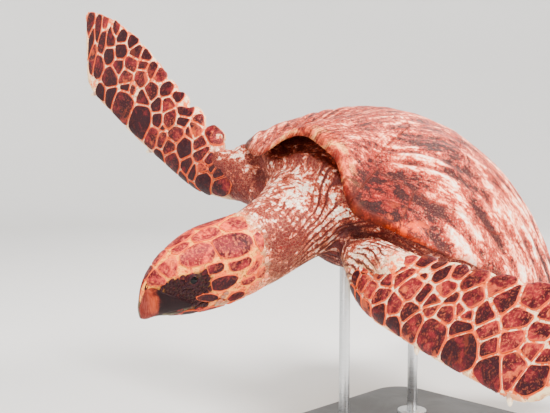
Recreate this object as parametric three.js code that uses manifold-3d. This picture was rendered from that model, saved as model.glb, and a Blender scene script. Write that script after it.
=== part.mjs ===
// A hawksbill turtle at life size, gliding with its left side low, on a plain display stand.
// Millimetres. +Z is up, the turtle heads towards -Y and its left side is +X.
// The origin is the middle of the underside of the stand's base.
//
// The turtle is shaped level, in a frame of its own: origin in the middle of the shell at the
// height of its rim, -Y ahead, +X to its left. Its group then pitches and banks it as a whole.

import * as THREE from 'three';
import { mergeVertices } from 'three/addons/utils/BufferGeometryUtils.js';
import Module from 'manifold-3d';

const wasm = await Module();
wasm.setup();
const radians = THREE.MathUtils.degToRad;
const lerp = THREE.MathUtils.lerp;
const FULL_TURN = 2 * Math.PI;

// Driving dimensions --------------------------------------------------------------------------

// How the turtle is held over the stand.
const HEIGHT_OVER_FLOOR = 400;
const NOSE_UP = 19.4;
const LEFT_SIDE_DOWN = 19;

// The gap left between neighbours that touch, and how far a scute's outline keeps off its seam.
const GAP = 0.4;
const SEAM_INSET = 0.6;

// The shell, seen from above: two half ovals that meet at its widest place.
const SHELL_FRONT_LENGTH = 264;
const SHELL_REAR_LENGTH = 436;
const SHELL_HALF_WIDTH = 266;
const SHELL_FRONT_POWER = 2.3;
const SHELL_REAR_POWER = 1.8;

// Its dome, and the arch in the rim over the neck.
const DOME_HEIGHT = 165;
const DOME_POWER = 2.13;
const ARCH_HEIGHT = 64;
const ARCH_SPREAD = radians(18.5);
const ARCH_TO_LEFT = radians(4);
const ARCH_POWER = 4;

// The row of marginal scutes round the rim. Their rear corners grow into teeth towards the tail.
const MARGINAL_INNER = 0.84;
const MARGINALS_A_SIDE = 12;
const NUCHAL_HALF_ANGLE = radians(10);
const NUCHAL_NOTCH = 0.985;
const TOOTH = 0.028;
const FIRST_TOOTHED = 3;
const FULLY_TOOTHED = 8;
const SCUTE_THICKNESS = 7;
const MARGINAL_THICKNESS = 13;
const RIM_THICKNESS = 4.5;

// The trunk, and how far it stays below the scutes.
const SHELL_CLEARANCE = 7;
const MARGINAL_CLEARANCE = 2.5;
const FLANK_LEVEL = -12;
const FLANK_RISE = 0.6;
const BELLY_LEVEL = -76;

// The plastron, a plate under the belly that curls up at its edge.
const PLASTRON_REACH = 0.7;
const PLASTRON_LEVEL = -85;
const PLASTRON_THICKNESS = 10;
const PLASTRON_RISE = 12;
const PLASTRON_BEVEL = 2;

// The head: where the tip of its beak lies, and how it is turned.
const HEAD_TIP = new THREE.Vector3(39, -444, -264);
const HEAD_PITCH = 35.6;
const HEAD_ROLL = 5.7;
const HEAD_LENGTH = 186;

// The neck, from inside the trunk to the back of the head.
const NECK_ROOT = new THREE.Vector3(0, -120, -26);
const NECK_ROOT_PITCH = 24;
const NECK_ROOT_BEND = 90;
const NECK_HEAD_BEND = 70;
const NECK_SQUARENESS = 2.3;

// Each flipper leaves the trunk at its root, at an angle ahead of straight out and above level.
// Its blade is twisted so that the trailing edge stands over the leading one, and it may bow
// towards the leading edge in the middle.
const FRONT_FLIPPER = {
  root: new THREE.Vector3(127, -185, -75),
  length: 543,
  // Share of the length, leading edge, trailing edge, thickness.
  stations: [
    [0.0, -22, 40, 66],
    [0.08, -44, 42, 66],
    [0.17, -61, 41, 56],
    [0.28, -67, 44, 43],
    [0.42, -67, 54, 33],
    [0.56, -66, 64, 26],
    [0.68, -63, 74, 20],
    [0.78, -60, 79, 16],
    [0.84, -50, 78, 13],
    [0.91, -10, 71, 10],
    [0.97, 26, 62, 8],
    [1.0, 40, 54, 6],
  ],
  claws: [0.45, 0.79],
};
const FRONT_FLIPPER_POSE = {
  left: { ahead: 17, rise: 5, twist: 76, bow: 0 },
  right: { ahead: 14, rise: 9, twist: 94, bow: 5 },
};

// Lobes and notches of the front flippers' trailing edges: share of the length, half length, and
// how far each stands out or, below 0, cuts in. The right one is worn into deep scallops.
const EDGE_LOBES = {
  left: [[0.395, 0.04, 5], [0.575, 0.035, 4]],
  right: [
    [0.06, 0.085, 27],
    [0.185, 0.038, -24],
    [0.242, 0.03, 4],
    [0.298, 0.024, -14],
    [0.392, 0.02, -11],
    [0.465, 0.018, -6],
  ],
};
const HIND_FLIPPER = {
  root: new THREE.Vector3(112, 262, -40),
  length: 262,
  stations: [
    [0.0, -34, 34, 52],
    [0.2, -36, 34, 44],
    [0.4, -42, 40, 30],
    [0.6, -52, 48, 19],
    [0.76, -58, 53, 13],
    [0.88, -54, 47, 10],
    [0.96, -36, 30, 8],
    [1.0, -14, 12, 6],
  ],
  claws: [0.7],
};
const HIND_FLIPPER_POSE = {
  left: { ahead: -52, rise: -6, twist: 12, bow: 0 },
  right: { ahead: -58, rise: -2, twist: 8, bow: 0 },
};

// How much fuller the front half of a flipper's section is than its middle.
const BLADE_FULLNESS = 0.25;

// A claw stands on the leading edge, with its middle a little outside it, and leans outward.
const CLAW_LENGTH = 15;
const CLAW_RADIUS = 4.5;
const CLAW_OUTSIDE = 3;
const CLAW_LEAN = 0.9;

// The tail, under the rear of the shell.
const TAIL_LEVEL = -44;

// Eyes, measured from the tip of the beak in the head's own frame.
const EYE_RADIUS = 12.5;
const EYE_PLACE = new THREE.Vector3(28, 68, 40);

// The stand.
const BASE_LENGTH = 460;
const BASE_WIDTH = 340;
const BASE_THICKNESS = 20;
const BASE_CORNER = 60;
const ROD_RADIUS = 9;
const FLANGE_RADIUS = 26;
const FLANGE_THICKNESS = 6;
const PAD_RADIUS = 30;
const PAD_THICKNESS = 10;
const PAD_SINK = 2;
const RODS = { front: -70, rear: 130 };

// Solids --------------------------------------------------------------------------------------

// Turns a closed geometry into a solid that can be joined and cut.
function solidOf(geometry) {
  geometry.deleteAttribute('normal');
  geometry.deleteAttribute('uv');
  const merged = mergeVertices(geometry, 1e-4);
  const vertProperties = new Float32Array(merged.attributes.position.array);
  const triVerts = new Uint32Array(merged.index.array);
  return new wasm.Manifold(new wasm.Mesh({ numProp: 3, vertProperties, triVerts }));
}

// Turns a solid back into a geometry.
function geometryOf(solid) {
  const mesh = solid.getMesh();
  const geometry = new THREE.BufferGeometry();
  geometry.setAttribute('position', new THREE.BufferAttribute(mesh.vertProperties, 3));
  geometry.setIndex(new THREE.BufferAttribute(mesh.triVerts, 1));
  return geometry;
}

// Signed volume of a list of triangles, to tell which way they face.
function signedVolume(points, triangles) {
  let volume = 0;
  for (const [a, b, c] of triangles) {
    volume += points[a].dot(new THREE.Vector3().crossVectors(points[b], points[c])) / 6;
  }
  return volume;
}

// Skins a row of rings, each with the same number of points, and closes both ends to a point.
function skinRings(rings, firstPole, lastPole) {
  const count = rings[0].length;
  const points = [firstPole, ...rings.flat(), lastPole];
  const last = points.length - 1;
  const triangles = [];
  for (let side = 0; side < count; side += 1) {
    const next = (side + 1) % count;
    triangles.push([0, 1 + next, 1 + side]);
    for (let ring = 0; ring + 1 < rings.length; ring += 1) {
      const here = 1 + ring * count;
      const there = here + count;
      triangles.push([here + side, here + next, there + side]);
      triangles.push([here + next, there + next, there + side]);
    }
    triangles.push([last, last - count + side, last - count + next]);
  }
  const facesOut = signedVolume(points, triangles) > 0;
  const geometry = new THREE.BufferGeometry().setFromPoints(points);
  geometry.setIndex(triangles.flatMap(([a, b, c]) => (facesOut ? [a, b, c] : [a, c, b])));
  return geometry;
}

function middleOf(points) {
  const middle = new THREE.Vector3();
  for (const point of points) {
    middle.add(point);
  }
  return middle.divideScalar(points.length);
}

// Skins rings that close on their own middles, as a limb does.
function skinLimb(rings) {
  return skinRings(rings, middleOf(rings[0]), middleOf(rings[rings.length - 1]));
}

// One ring of a rounded box: power 2 is an oval, a higher power is squarer.
function roundedRing(halfWidth, bottom, top, power, count) {
  const points = [];
  for (let step = 0; step < count; step += 1) {
    const angle = (step / count) * FULL_TURN;
    const across = Math.cos(angle);
    const up = Math.sin(angle);
    const size = (Math.abs(across) ** power + Math.abs(up) ** power) ** (-1 / power);
    const height = (bottom + top) / 2 + ((top - bottom) / 2) * up * size;
    points.push(new THREE.Vector3(halfWidth * across * size, 0, height));
  }
  return points;
}

// The shell's surfaces ------------------------------------------------------------------------

// Distance from the middle of the shell to its rim. Angles run from straight ahead to the left.
function rimRadius(angle) {
  const ahead = Math.cos(angle);
  const length = ahead > 0 ? SHELL_FRONT_LENGTH : SHELL_REAR_LENGTH;
  const power = ahead > 0 ? SHELL_FRONT_POWER : SHELL_REAR_POWER;
  const across = Math.abs(Math.sin(angle)) / SHELL_HALF_WIDTH;
  const along = Math.abs(ahead) / length;
  return (across ** power + along ** power) ** (-1 / power);
}

// Height of the shell's upper face. Reach is 0 in the middle of the shell and 1 at its rim.
function shellTop(angle, reach) {
  const offArch = angle - ARCH_TO_LEFT;
  const turned = Math.abs(Math.atan2(Math.sin(offArch), Math.cos(offArch)));
  const arch = ARCH_HEIGHT * Math.exp(-((turned / ARCH_SPREAD) ** ARCH_POWER));
  return arch * reach ** 3 + DOME_HEIGHT * (1 - reach ** DOME_POWER);
}

// Height of the underside of the scutes, which are thick where the marginals begin.
function shellUnderside(angle, reach) {
  const outward = Math.max(0, (reach - MARGINAL_INNER) / (1 - MARGINAL_INNER));
  const rim = lerp(MARGINAL_THICKNESS, RIM_THICKNESS, Math.min(1, outward));
  return shellTop(angle, reach) - (reach < MARGINAL_INNER - 0.01 ? SCUTE_THICKNESS : rim);
}

function shellPoint(angle, reach, height) {
  const radius = rimRadius(angle) * reach;
  return new THREE.Vector3(radius * Math.sin(angle), -radius * Math.cos(angle), height);
}

// A body of rings round the shell's middle, each ring given by its reach and a height.
function shellBody(profile, steps) {
  const rings = profile.map(([reach, heightAt]) => {
    const ring = [];
    for (let step = 0; step < steps; step += 1) {
      const angle = (step / steps) * FULL_TURN;
      ring.push(shellPoint(angle, reach, heightAt(angle, reach)));
    }
    return ring;
  });
  const poles = [rings[0], rings[rings.length - 1]].map((ring) => middleOf(ring));
  return skinRings(rings, poles[0], poles[1]);
}

// Scutes --------------------------------------------------------------------------------------

// Where the marginals of one side meet, at equal steps along the rim from the nuchal scute back.
function marginalSeams() {
  const samples = 720;
  const lengths = [0];
  const angleAt = (sample) => lerp(NUCHAL_HALF_ANGLE, Math.PI, sample / samples);
  for (let sample = 1; sample <= samples; sample += 1) {
    const before = shellPoint(angleAt(sample - 1), 1, 0);
    const after = shellPoint(angleAt(sample), 1, 0);
    lengths.push(lengths[sample - 1] + before.distanceTo(after));
  }
  const seams = [];
  for (let seam = 0; seam <= MARGINALS_A_SIDE; seam += 1) {
    const wanted = (lengths[samples] * seam) / MARGINALS_A_SIDE;
    seams.push(angleAt(lengths.findIndex((length) => length >= wanted - 1e-6)));
  }
  return seams;
}

// The vertebral scutes, front to rear: half width and place of their front edge and side corners.
const VERTEBRALS = [
  { front: [88, -205], corner: [88, -204] },
  { front: [46, -118], corner: [98, -50] },
  { front: [44, 12], corner: [95, 74] },
  { front: [40, 135], corner: [86, 196] },
  { front: [30, 254], corner: [56, 300] },
];

// Angles at which the seams between costal scutes reach the marginals.
const COSTAL_SEAMS = [84, 116, 143, 162].map(radians);

const MARGINAL_SEAMS = marginalSeams();

function planAngle([x, y]) {
  return Math.atan2(x, -y);
}

// The place on the marginals' inner line that lies in the direction of a point.
function innerPoint(angle) {
  const point = shellPoint(angle, MARGINAL_INNER, 0);
  return [point.x, point.y];
}

const FIRST_COSTAL_ANGLE = planAngle(VERTEBRALS[0].front);
const INNER_LINE_ANGLES = [
  NUCHAL_HALF_ANGLE,
  FIRST_COSTAL_ANGLE,
  ...COSTAL_SEAMS,
  ...MARGINAL_SEAMS,
].sort((one, other) => one - other);

// Corners of the marginals' inner line between two angles, both ends included.
function innerLine(from, to) {
  const between = INNER_LINE_ANGLES.filter((angle) => angle > from + 0.01 && angle < to - 0.01);
  return [from, ...between, to].map(innerPoint);
}

const mirrored = (outline) => outline.map(([x, y]) => [-x, y]).reverse();

// Splits the long edges of an outline, so that a scute can follow the dome.
function splitEdges(outline, longest) {
  const points = [];
  outline.forEach(([x, y], index) => {
    const [nextX, nextY] = outline[(index + 1) % outline.length];
    const pieces = Math.ceil(Math.hypot(nextX - x, nextY - y) / longest);
    for (let piece = 0; piece < pieces; piece += 1) {
      points.push([lerp(x, nextX, piece / pieces), lerp(y, nextY, piece / pieces)]);
    }
  });
  return points;
}

const SCUTE_EDGE_PIECE = 46;
const SCUTE_INNER_RING = 0.5;

// One scute: its outline in plan is drawn in a little and follows the shell above and below. The
// underside of a scute on the dome has an inner ring too, so that it stays clear of the trunk.
function scute(outline, onDome) {
  const plan = splitEdges(outline, SCUTE_EDGE_PIECE);
  const middleX = plan.reduce((sum, point) => sum + point[0], 0) / plan.length;
  const middleY = plan.reduce((sum, point) => sum + point[1], 0) / plan.length;
  const onShell = (x, y, heightAt) => {
    const angle = planAngle([x, y]);
    const reach = Math.hypot(x, y) / rimRadius(angle);
    return new THREE.Vector3(x, y, heightAt(angle, reach));
  };
  const shrunk = (share, heightAt) => plan.map(([x, y]) => {
    const distance = Math.hypot(x - middleX, y - middleY);
    const scale = share * (1 - SEAM_INSET / distance);
    return onShell(lerp(middleX, x, scale), lerp(middleY, y, scale), heightAt);
  });
  const under = onDome
    ? (angle, reach) => shellTop(angle, reach) - SCUTE_THICKNESS
    : shellUnderside;
  const rings = [shrunk(SCUTE_INNER_RING, shellTop), shrunk(1, shellTop), shrunk(1, under)];
  if (onDome) {
    rings.push(shrunk(SCUTE_INNER_RING, under));
  }
  return skinRings(rings, onShell(middleX, middleY, shellTop), onShell(middleX, middleY, under));
}

// The outline of a vertebral scute, from its front edge round its side corners to its rear edge.
function vertebralOutline(number) {
  const own = VERTEBRALS[number];
  const rear = number + 1 < VERTEBRALS.length ? VERTEBRALS[number + 1].front : null;
  if (number === 0) {
    const frontLine = innerLine(NUCHAL_HALF_ANGLE, FIRST_COSTAL_ANGLE);
    return [...mirrored(frontLine), ...frontLine, rear, [-rear[0], rear[1]]];
  }
  const left = [own.front, own.corner];
  if (rear) {
    return [...mirrored([...left, rear]), ...left, rear];
  }
  const rearLine = innerLine(COSTAL_SEAMS[COSTAL_SEAMS.length - 1], Math.PI);
  return [...mirrored([...left, ...rearLine.slice(0, -1)]), ...left, ...rearLine];
}

// The outline of a left costal scute, between the vertebrals and the marginals.
function costalOutline(number) {
  const from = number === 0 ? FIRST_COSTAL_ANGLE : COSTAL_SEAMS[number - 1];
  const outer = innerLine(from, COSTAL_SEAMS[number]);
  const next = VERTEBRALS[number + 1];
  const own = VERTEBRALS[number];
  const inner = number === 0 ? [next.corner, next.front] : [next.corner, next.front, own.corner];
  return [...outer, ...inner];
}

// The outline of a left marginal scute, with its tooth at the rear corner.
function marginalOutline(number) {
  const from = MARGINAL_SEAMS[number];
  const to = MARGINAL_SEAMS[number + 1];
  const tooth = TOOTH * THREE.MathUtils.smoothstep(number, FIRST_TOOTHED, FULLY_TOOTHED);
  const outer = [];
  const steps = 3;
  for (let step = 0; step <= steps; step += 1) {
    const share = step / steps;
    const point = shellPoint(lerp(to, from, share), 1 + tooth * (1 - share) ** 2, 0);
    outer.push([point.x, point.y]);
  }
  return [...innerLine(from, to), ...outer];
}

// The nuchal scute sits over the neck, between the first marginals, with a shallow notch in front.
function nuchalOutline() {
  const inner = innerLine(0, NUCHAL_HALF_ANGLE);
  const outer = [NUCHAL_HALF_ANGLE, NUCHAL_HALF_ANGLE / 2, 0].map((angle) => {
    const point = shellPoint(angle, angle === 0 ? NUCHAL_NOTCH : 1, 0);
    return [point.x, point.y];
  });
  return [...inner, ...outer, ...mirrored(outer.slice(0, -1)), ...mirrored(inner.slice(1))];
}

// Colours -------------------------------------------------------------------------------------

const material = (color, roughness, metalness = 0) => (
  new THREE.MeshStandardMaterial({ color, roughness, metalness })
);
const shellMaterial = () => material('#7d4a3a', 0.35);
const marginMaterial = () => material('#b88a6a', 0.4);
const plastronMaterial = () => material('#e2c58c', 0.5);
const neckMaterial = () => material('#c99a88', 0.7);
const scaledMaterial = () => material('#6a2f2a', 0.5);
const beakMaterial = () => material('#b0714c', 0.4);
const clawMaterial = () => material('#efe2c8', 0.4);
const eyeMaterial = () => material('#1a1412', 0.1);
const baseMaterial = () => material('#2b2b2d', 0.45);
const rodMaterial = () => material('#b9bcc0', 0.3, 1);

const turtle = new THREE.Group();
turtle.position.set(0, 0, HEIGHT_OVER_FLOOR);
turtle.rotation.set(radians(-NOSE_UP), radians(LEFT_SIDE_DOWN), 0);
turtle.updateMatrixWorld();

function addPiece(parent, name, geometry, look) {
  const mesh = new THREE.Mesh(geometry, look);
  mesh.name = name;
  parent.add(mesh);
}

// The carapace --------------------------------------------------------------------------------

addPiece(turtle, 'nuchal', scute(nuchalOutline()), marginMaterial());
VERTEBRALS.forEach((_, number) => {
  const geometry = scute(vertebralOutline(number), true);
  addPiece(turtle, `vertebral_${number + 1}`, geometry, shellMaterial());
});
COSTAL_SEAMS.forEach((_, number) => {
  const outline = costalOutline(number);
  addPiece(turtle, `costal_left_${number + 1}`, scute(outline, true), shellMaterial());
  addPiece(turtle, `costal_right_${number + 1}`, scute(mirrored(outline), true), shellMaterial());
});
for (let number = 0; number < MARGINALS_A_SIDE; number += 1) {
  const outline = marginalOutline(number);
  addPiece(turtle, `marginal_left_${number + 1}`, scute(outline), marginMaterial());
  addPiece(turtle, `marginal_right_${number + 1}`, scute(mirrored(outline)), marginMaterial());
}

// The plastron and the trunk ------------------------------------------------------------------

// The plate under the belly, dished a little. Grown by the gap, it is what the flesh keeps clear of.
function plastronBody(grown) {
  const lower = (angle, reach) => (
    PLASTRON_LEVEL + PLASTRON_RISE * (reach / PLASTRON_REACH) ** 4 - grown
  );
  const upper = (angle, reach) => lower(angle, reach) + PLASTRON_THICKNESS + 2 * grown;
  const edge = PLASTRON_REACH * (1 + (grown * 1.5) / SHELL_HALF_WIDTH);
  return shellBody([
    [0.35, lower],
    [0.58, lower],
    [edge, (angle, reach) => lower(angle, reach) + PLASTRON_BEVEL],
    [edge, (angle, reach) => upper(angle, reach) - PLASTRON_BEVEL],
    [0.35, upper],
  ], 40);
}
addPiece(turtle, 'plastron', plastronBody(0), plastronMaterial());
const plastronRoom = solidOf(plastronBody(GAP));

const ROOM_HEIGHT = 60;
const ROOM_REACH = 1.04;

// The space of the carapace and above it, which the flesh keeps clear of.
function carapaceRoom() {
  const under = (angle, reach) => shellUnderside(angle, reach) - MARGINAL_CLEARANCE;
  const deepUnder = (angle, reach) => shellUnderside(angle, reach) - SHELL_CLEARANCE;
  const above = (angle, reach) => shellTop(angle, reach) + ROOM_HEIGHT;
  return solidOf(shellBody([
    [0.3, deepUnder],
    [0.55, deepUnder],
    [0.72, deepUnder],
    [0.82, deepUnder],
    [MARGINAL_INNER, under],
    [0.92, under],
    [1, under],
    [ROOM_REACH, (angle) => under(angle, 1)],
    [ROOM_REACH, (angle) => above(angle, 1)],
    [0.6, above],
  ], 72));
}
const shellRoom = carapaceRoom();

// The trunk's side is widest under the marginals and rounds in to the plastron.
function trunkBody(grown) {
  const inside = (angle, reach) => shellUnderside(angle, reach) - SHELL_CLEARANCE + grown;
  const flank = (angle) => shellTop(angle, 1) * FLANK_RISE + FLANK_LEVEL;
  const belly = () => BELLY_LEVEL - grown;
  const wider = (share) => share * (1 + grown / SHELL_HALF_WIDTH);
  return shellBody([
    [0.45, inside],
    [0.7, inside],
    [MARGINAL_INNER, inside],
    [wider(0.9), (angle) => inside(angle, 0.9)],
    [wider(0.91), flank],
    [wider(0.87), () => BELLY_LEVEL / 2],
    [wider(0.79), () => BELLY_LEVEL * 0.82],
    [wider(0.66), belly],
    [0.3, belly],
  ], 48);
}
const trunk = solidOf(trunkBody(0)).subtract(plastronRoom);
addPiece(turtle, 'trunk', geometryOf(trunk), neckMaterial());
const trunkRoom = solidOf(trunkBody(GAP)).add(shellRoom).add(plastronRoom);

// The head and the neck -----------------------------------------------------------------------

// From the tip of the beak back: distance, half width, bottom, top, squareness.
const HEAD_STATIONS = [
  [1, 5, -19, 8, 2.2],
  [6, 9.5, -21, 27, 2.2],
  [14, 14.5, -22, 43, 2.3],
  [26, 20.5, -23, 56, 2.4],
  [44, 29, -28.5, 68, 2.5],
  [66, 38, -32, 74, 2.6],
  [92, 45, -35, 80, 2.7],
  [120, 49, -37, 82, 2.7],
  [150, 51, -38, 81, 2.5],
  [172, 51, -38.5, 81, 2.4],
  [HEAD_LENGTH, 50, -38, 83, 2.3],
];
const HEAD_SIDES = 18;

const headTurn = new THREE.Quaternion().setFromEuler(
  new THREE.Euler(radians(HEAD_PITCH), radians(HEAD_ROLL), 0),
);

// Takes points from the head's own frame, with its origin at the tip of the beak, to the turtle's.
const headToTurtle = new THREE.Matrix4().compose(HEAD_TIP, headTurn, new THREE.Vector3(1, 1, 1));

function headBody() {
  const rings = HEAD_STATIONS.map(([back, halfWidth, bottom, top, power]) => (
    roundedRing(halfWidth, bottom, top, power, HEAD_SIDES).map((point) => point.setY(back))
  ));
  return skinLimb(rings);
}

// The mouth line from beside the hook to the corner of the mouth.
const MOUTH_LINE = [[14, -18], [22, -14.5], [34, -10.5], [60, -4.5], [98, -2]];

const WALL_WIDTH = 160;
const WALL_BOTTOM = -80;

// A wall across the head, given by its outline seen from the side.
function sideWall(outlinePoints) {
  const outline = new THREE.Shape(outlinePoints.map(([back, up]) => new THREE.Vector2(back, up)));
  const wall = new THREE.ExtrudeGeometry(outline, { depth: WALL_WIDTH, bevelEnabled: false });
  const toHead = new THREE.Matrix4().makeBasis(
    new THREE.Vector3(0, 1, 0),
    new THREE.Vector3(0, 0, 1),
    new THREE.Vector3(1, 0, 0),
  );
  toHead.setPosition(-WALL_WIDTH / 2, 0, 0);
  return solidOf(wall.applyMatrix4(toHead));
}

// Everything below the mouth line, less a gap, as far back as the corner of the mouth.
const belowMouth = (gap) => {
  const line = MOUTH_LINE.map(([back, up]) => [back, up - gap]);
  return sideWall([
    [line[0][0], WALL_BOTTOM],
    ...line,
    [line[line.length - 1][0], WALL_BOTTOM],
  ]);
};

const wholeHead = solidOf(headBody());
const lowerJaw = wholeHead.intersect(belowMouth(GAP / 2));
const upperHead = wholeHead.subtract(belowMouth(-GAP / 2));

// The front of the snout that is sheathed by the upper beak, less a gap.
const beakRegion = (gap) => sideWall([
  [-20, -40],
  [36 - gap, -40],
  [34 - gap, -4],
  [27 - gap, 10],
  [16 - gap, 20],
  [-20, 26 - gap],
]);
const upperBeak = upperHead.intersect(beakRegion(GAP / 2));
const eyeBall = (side, grown) => {
  const ball = new THREE.SphereGeometry(EYE_RADIUS + grown, 14, 9);
  return ball.translate(side * EYE_PLACE.x, EYE_PLACE.y, EYE_PLACE.z);
};
const skull = upperHead
  .subtract(beakRegion(-GAP / 2))
  .subtract(solidOf(eyeBall(1, GAP)))
  .subtract(solidOf(eyeBall(-1, GAP)));

const head = new THREE.Group();
head.position.copy(HEAD_TIP);
head.quaternion.copy(headTurn);
turtle.add(head);
addPiece(head, 'head', geometryOf(skull), scaledMaterial());
addPiece(head, 'beak_upper', geometryOf(upperBeak), beakMaterial());
addPiece(head, 'beak_lower', geometryOf(lowerJaw), beakMaterial());
addPiece(head, 'eye_left', eyeBall(1, 0), eyeMaterial());
addPiece(head, 'eye_right', eyeBall(-1, 0), eyeMaterial());

// The neck bends down from the shell and meets the back of the head, ring on ring.
function neckBody(grown) {
  const rearOfHead = new THREE.Vector3(0, HEAD_LENGTH + GAP, 0).applyMatrix4(headToTurtle);
  const rootPitch = new THREE.Euler(radians(NECK_ROOT_PITCH), 0, 0);
  const rootTurn = new THREE.Quaternion().setFromEuler(rootPitch);
  const back = new THREE.Vector3(0, 1, 0);
  const headBack = back.clone().applyQuaternion(headTurn);
  const rootBack = back.clone().applyQuaternion(rootTurn);
  const path = new THREE.CubicBezierCurve3(
    NECK_ROOT,
    NECK_ROOT.clone().addScaledVector(rootBack, -NECK_ROOT_BEND),
    rearOfHead.clone().addScaledVector(headBack, NECK_HEAD_BEND),
    rearOfHead,
  );
  // Share of the length, half width, bottom, top.
  const stations = [
    [0, 108, -24, 66],
    [0.22, 106, -24, 74],
    [0.4, 93, -25, 80],
    [0.56, 76, -28, 83],
    [0.72, 63, -32, 85],
    [0.87, 55, -36, 86],
    [1, 50, -38, 83],
  ];
  const rings = stations.map(([share, halfWidth, bottom, top]) => {
    const centre = path.getPoint(share);
    const turn = rootTurn.clone().slerp(headTurn, share);
    const size = [halfWidth + grown, bottom - grown, top + grown];
    return roundedRing(...size, NECK_SQUARENESS, HEAD_SIDES).map((point) => (
      point.applyQuaternion(turn).add(centre)
    ));
  });
  return skinLimb(rings);
}
const neck = solidOf(neckBody(0)).subtract(trunkRoom);
addPiece(turtle, 'neck', geometryOf(neck), neckMaterial());
const neckRoom = solidOf(neckBody(GAP));

// Flippers, claws and tail --------------------------------------------------------------------

// The directions of a flipper: along it, towards its trailing edge, and out of its upper face.
function flipperFrame(side, pose) {
  const ahead = radians(pose.ahead);
  const rise = radians(pose.rise);
  const along = new THREE.Vector3(
    side * Math.cos(ahead) * Math.cos(rise),
    -Math.sin(ahead) * Math.cos(rise),
    Math.sin(rise),
  );
  const level = new THREE.Vector3(0, 1, 0).addScaledVector(along, -along.y).normalize();
  const upright = new THREE.Vector3().crossVectors(along, level).multiplyScalar(side);
  const twist = radians(pose.twist);
  const trailing = level.clone().multiplyScalar(Math.cos(twist));
  trailing.addScaledVector(upright, Math.sin(twist));
  const face = upright.clone().multiplyScalar(Math.cos(twist));
  face.addScaledVector(level, -Math.sin(twist));
  return { along, trailing, face, bow: pose.bow };
}

// A point of a flipper: its share of the length, and distances chordwise and out of the face.
function flipperPoint(flipper, side, frame, share, chordwise, outward) {
  const point = new THREE.Vector3(side * flipper.root.x, flipper.root.y, flipper.root.z);
  point.addScaledVector(frame.along, share * flipper.length);
  point.addScaledVector(frame.trailing, chordwise - frame.bow * Math.sin(Math.PI * share));
  return point.addScaledVector(frame.face, outward);
}

const FLIPPER_SIDES = 12;
const LEAST_RING_GAP = 0.008;

// Leading edge, trailing edge and thickness of a flipper at a share of its length.
function sectionAt(flipper, share) {
  const after = Math.max(1, flipper.stations.findIndex((station) => station[0] >= share));
  const [fromShare, ...from] = flipper.stations[after - 1];
  const [toShare, ...to] = flipper.stations[after];
  const part = (share - fromShare) / (toShare - fromShare);
  return from.map((value, index) => lerp(value, to[index], part));
}

// How far the lobes move the trailing edge out at a share of the length.
function lobeAt(lobes, share) {
  return lobes.reduce((sum, [middle, halfLength, height]) => {
    const part = Math.max(0, 1 - Math.abs(share - middle) / halfLength);
    return sum + height * (height < 0 ? part : Math.sqrt(part * (2 - part)));
  }, 0);
}

// A flipper as a row of rings, each fuller towards its leading edge. Each lobe adds rings at its
// middle and ends, unless another ring is close by.
function flipperBody(flipper, side, pose, grown, lobes = []) {
  const frame = flipperFrame(side, pose);
  const shares = flipper.stations.map((station) => station[0]);
  for (const [middle, halfLength] of lobes) {
    for (const share of [middle, middle - halfLength, middle + halfLength]) {
      if (share > 0 && shares.every((other) => Math.abs(other - share) > LEAST_RING_GAP)) {
        shares.push(share);
      }
    }
  }
  const rings = shares.sort((one, other) => one - other).map((share) => {
    const [leading, edge, thickness] = sectionAt(flipper, share);
    const trailing = edge + lobeAt(lobes, share);
    const ring = [];
    for (let step = 0; step < FLIPPER_SIDES; step += 1) {
      const angle = (step / FLIPPER_SIDES) * FULL_TURN;
      const halfChord = (trailing - leading) / 2 + grown;
      const chordwise = (leading + trailing) / 2 + halfChord * Math.cos(angle);
      const fullness = 1 - BLADE_FULLNESS * Math.cos(angle);
      const outward = (thickness / 2 + grown) * Math.sin(angle) * fullness;
      ring.push(flipperPoint(flipper, side, frame, share, chordwise, outward));
    }
    return ring;
  });
  return skinLimb(rings);
}

// A claw on the leading edge, leaning towards the flipper's tip.
function clawBody(flipper, side, pose, share) {
  const frame = flipperFrame(side, pose);
  const claw = new THREE.ConeGeometry(CLAW_RADIUS, CLAW_LENGTH, 8);
  const chordwise = sectionAt(flipper, share)[0] - CLAW_OUTSIDE;
  const place = flipperPoint(flipper, side, frame, share, chordwise, 0);
  const pointing = frame.trailing.clone().negate().addScaledVector(frame.along, CLAW_LEAN);
  const coneAxis = new THREE.Vector3(0, 1, 0);
  claw.applyQuaternion(new THREE.Quaternion().setFromUnitVectors(coneAxis, pointing.normalize()));
  return claw.translate(place.x, place.y, place.z);
}

const SIDES = { left: 1, right: -1 };
for (const [name, side] of Object.entries(SIDES)) {
  const front = [FRONT_FLIPPER, side, FRONT_FLIPPER_POSE[name]];
  const lobes = EDGE_LOBES[name];
  const frontSolid = solidOf(flipperBody(...front, 0, lobes)).subtract(trunkRoom).subtract(neckRoom);
  addPiece(turtle, `front_flipper_${name}`, geometryOf(frontSolid), scaledMaterial());
  const frontRoom = solidOf(flipperBody(...front, GAP, lobes));
  FRONT_FLIPPER.claws.forEach((share, number) => {
    const claw = solidOf(clawBody(...front, share)).subtract(frontRoom);
    addPiece(turtle, `claw_front_${name}_${number + 1}`, geometryOf(claw), clawMaterial());
  });

  const hind = [HIND_FLIPPER, side, HIND_FLIPPER_POSE[name]];
  const hindSolid = solidOf(flipperBody(...hind, 0)).subtract(trunkRoom);
  addPiece(turtle, `hind_flipper_${name}`, geometryOf(hindSolid), scaledMaterial());
  const hindRoom = solidOf(flipperBody(...hind, GAP));
  const hindClaw = solidOf(clawBody(...hind, HIND_FLIPPER.claws[0])).subtract(hindRoom);
  addPiece(turtle, `claw_hind_${name}`, geometryOf(hindClaw), clawMaterial());
}

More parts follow.
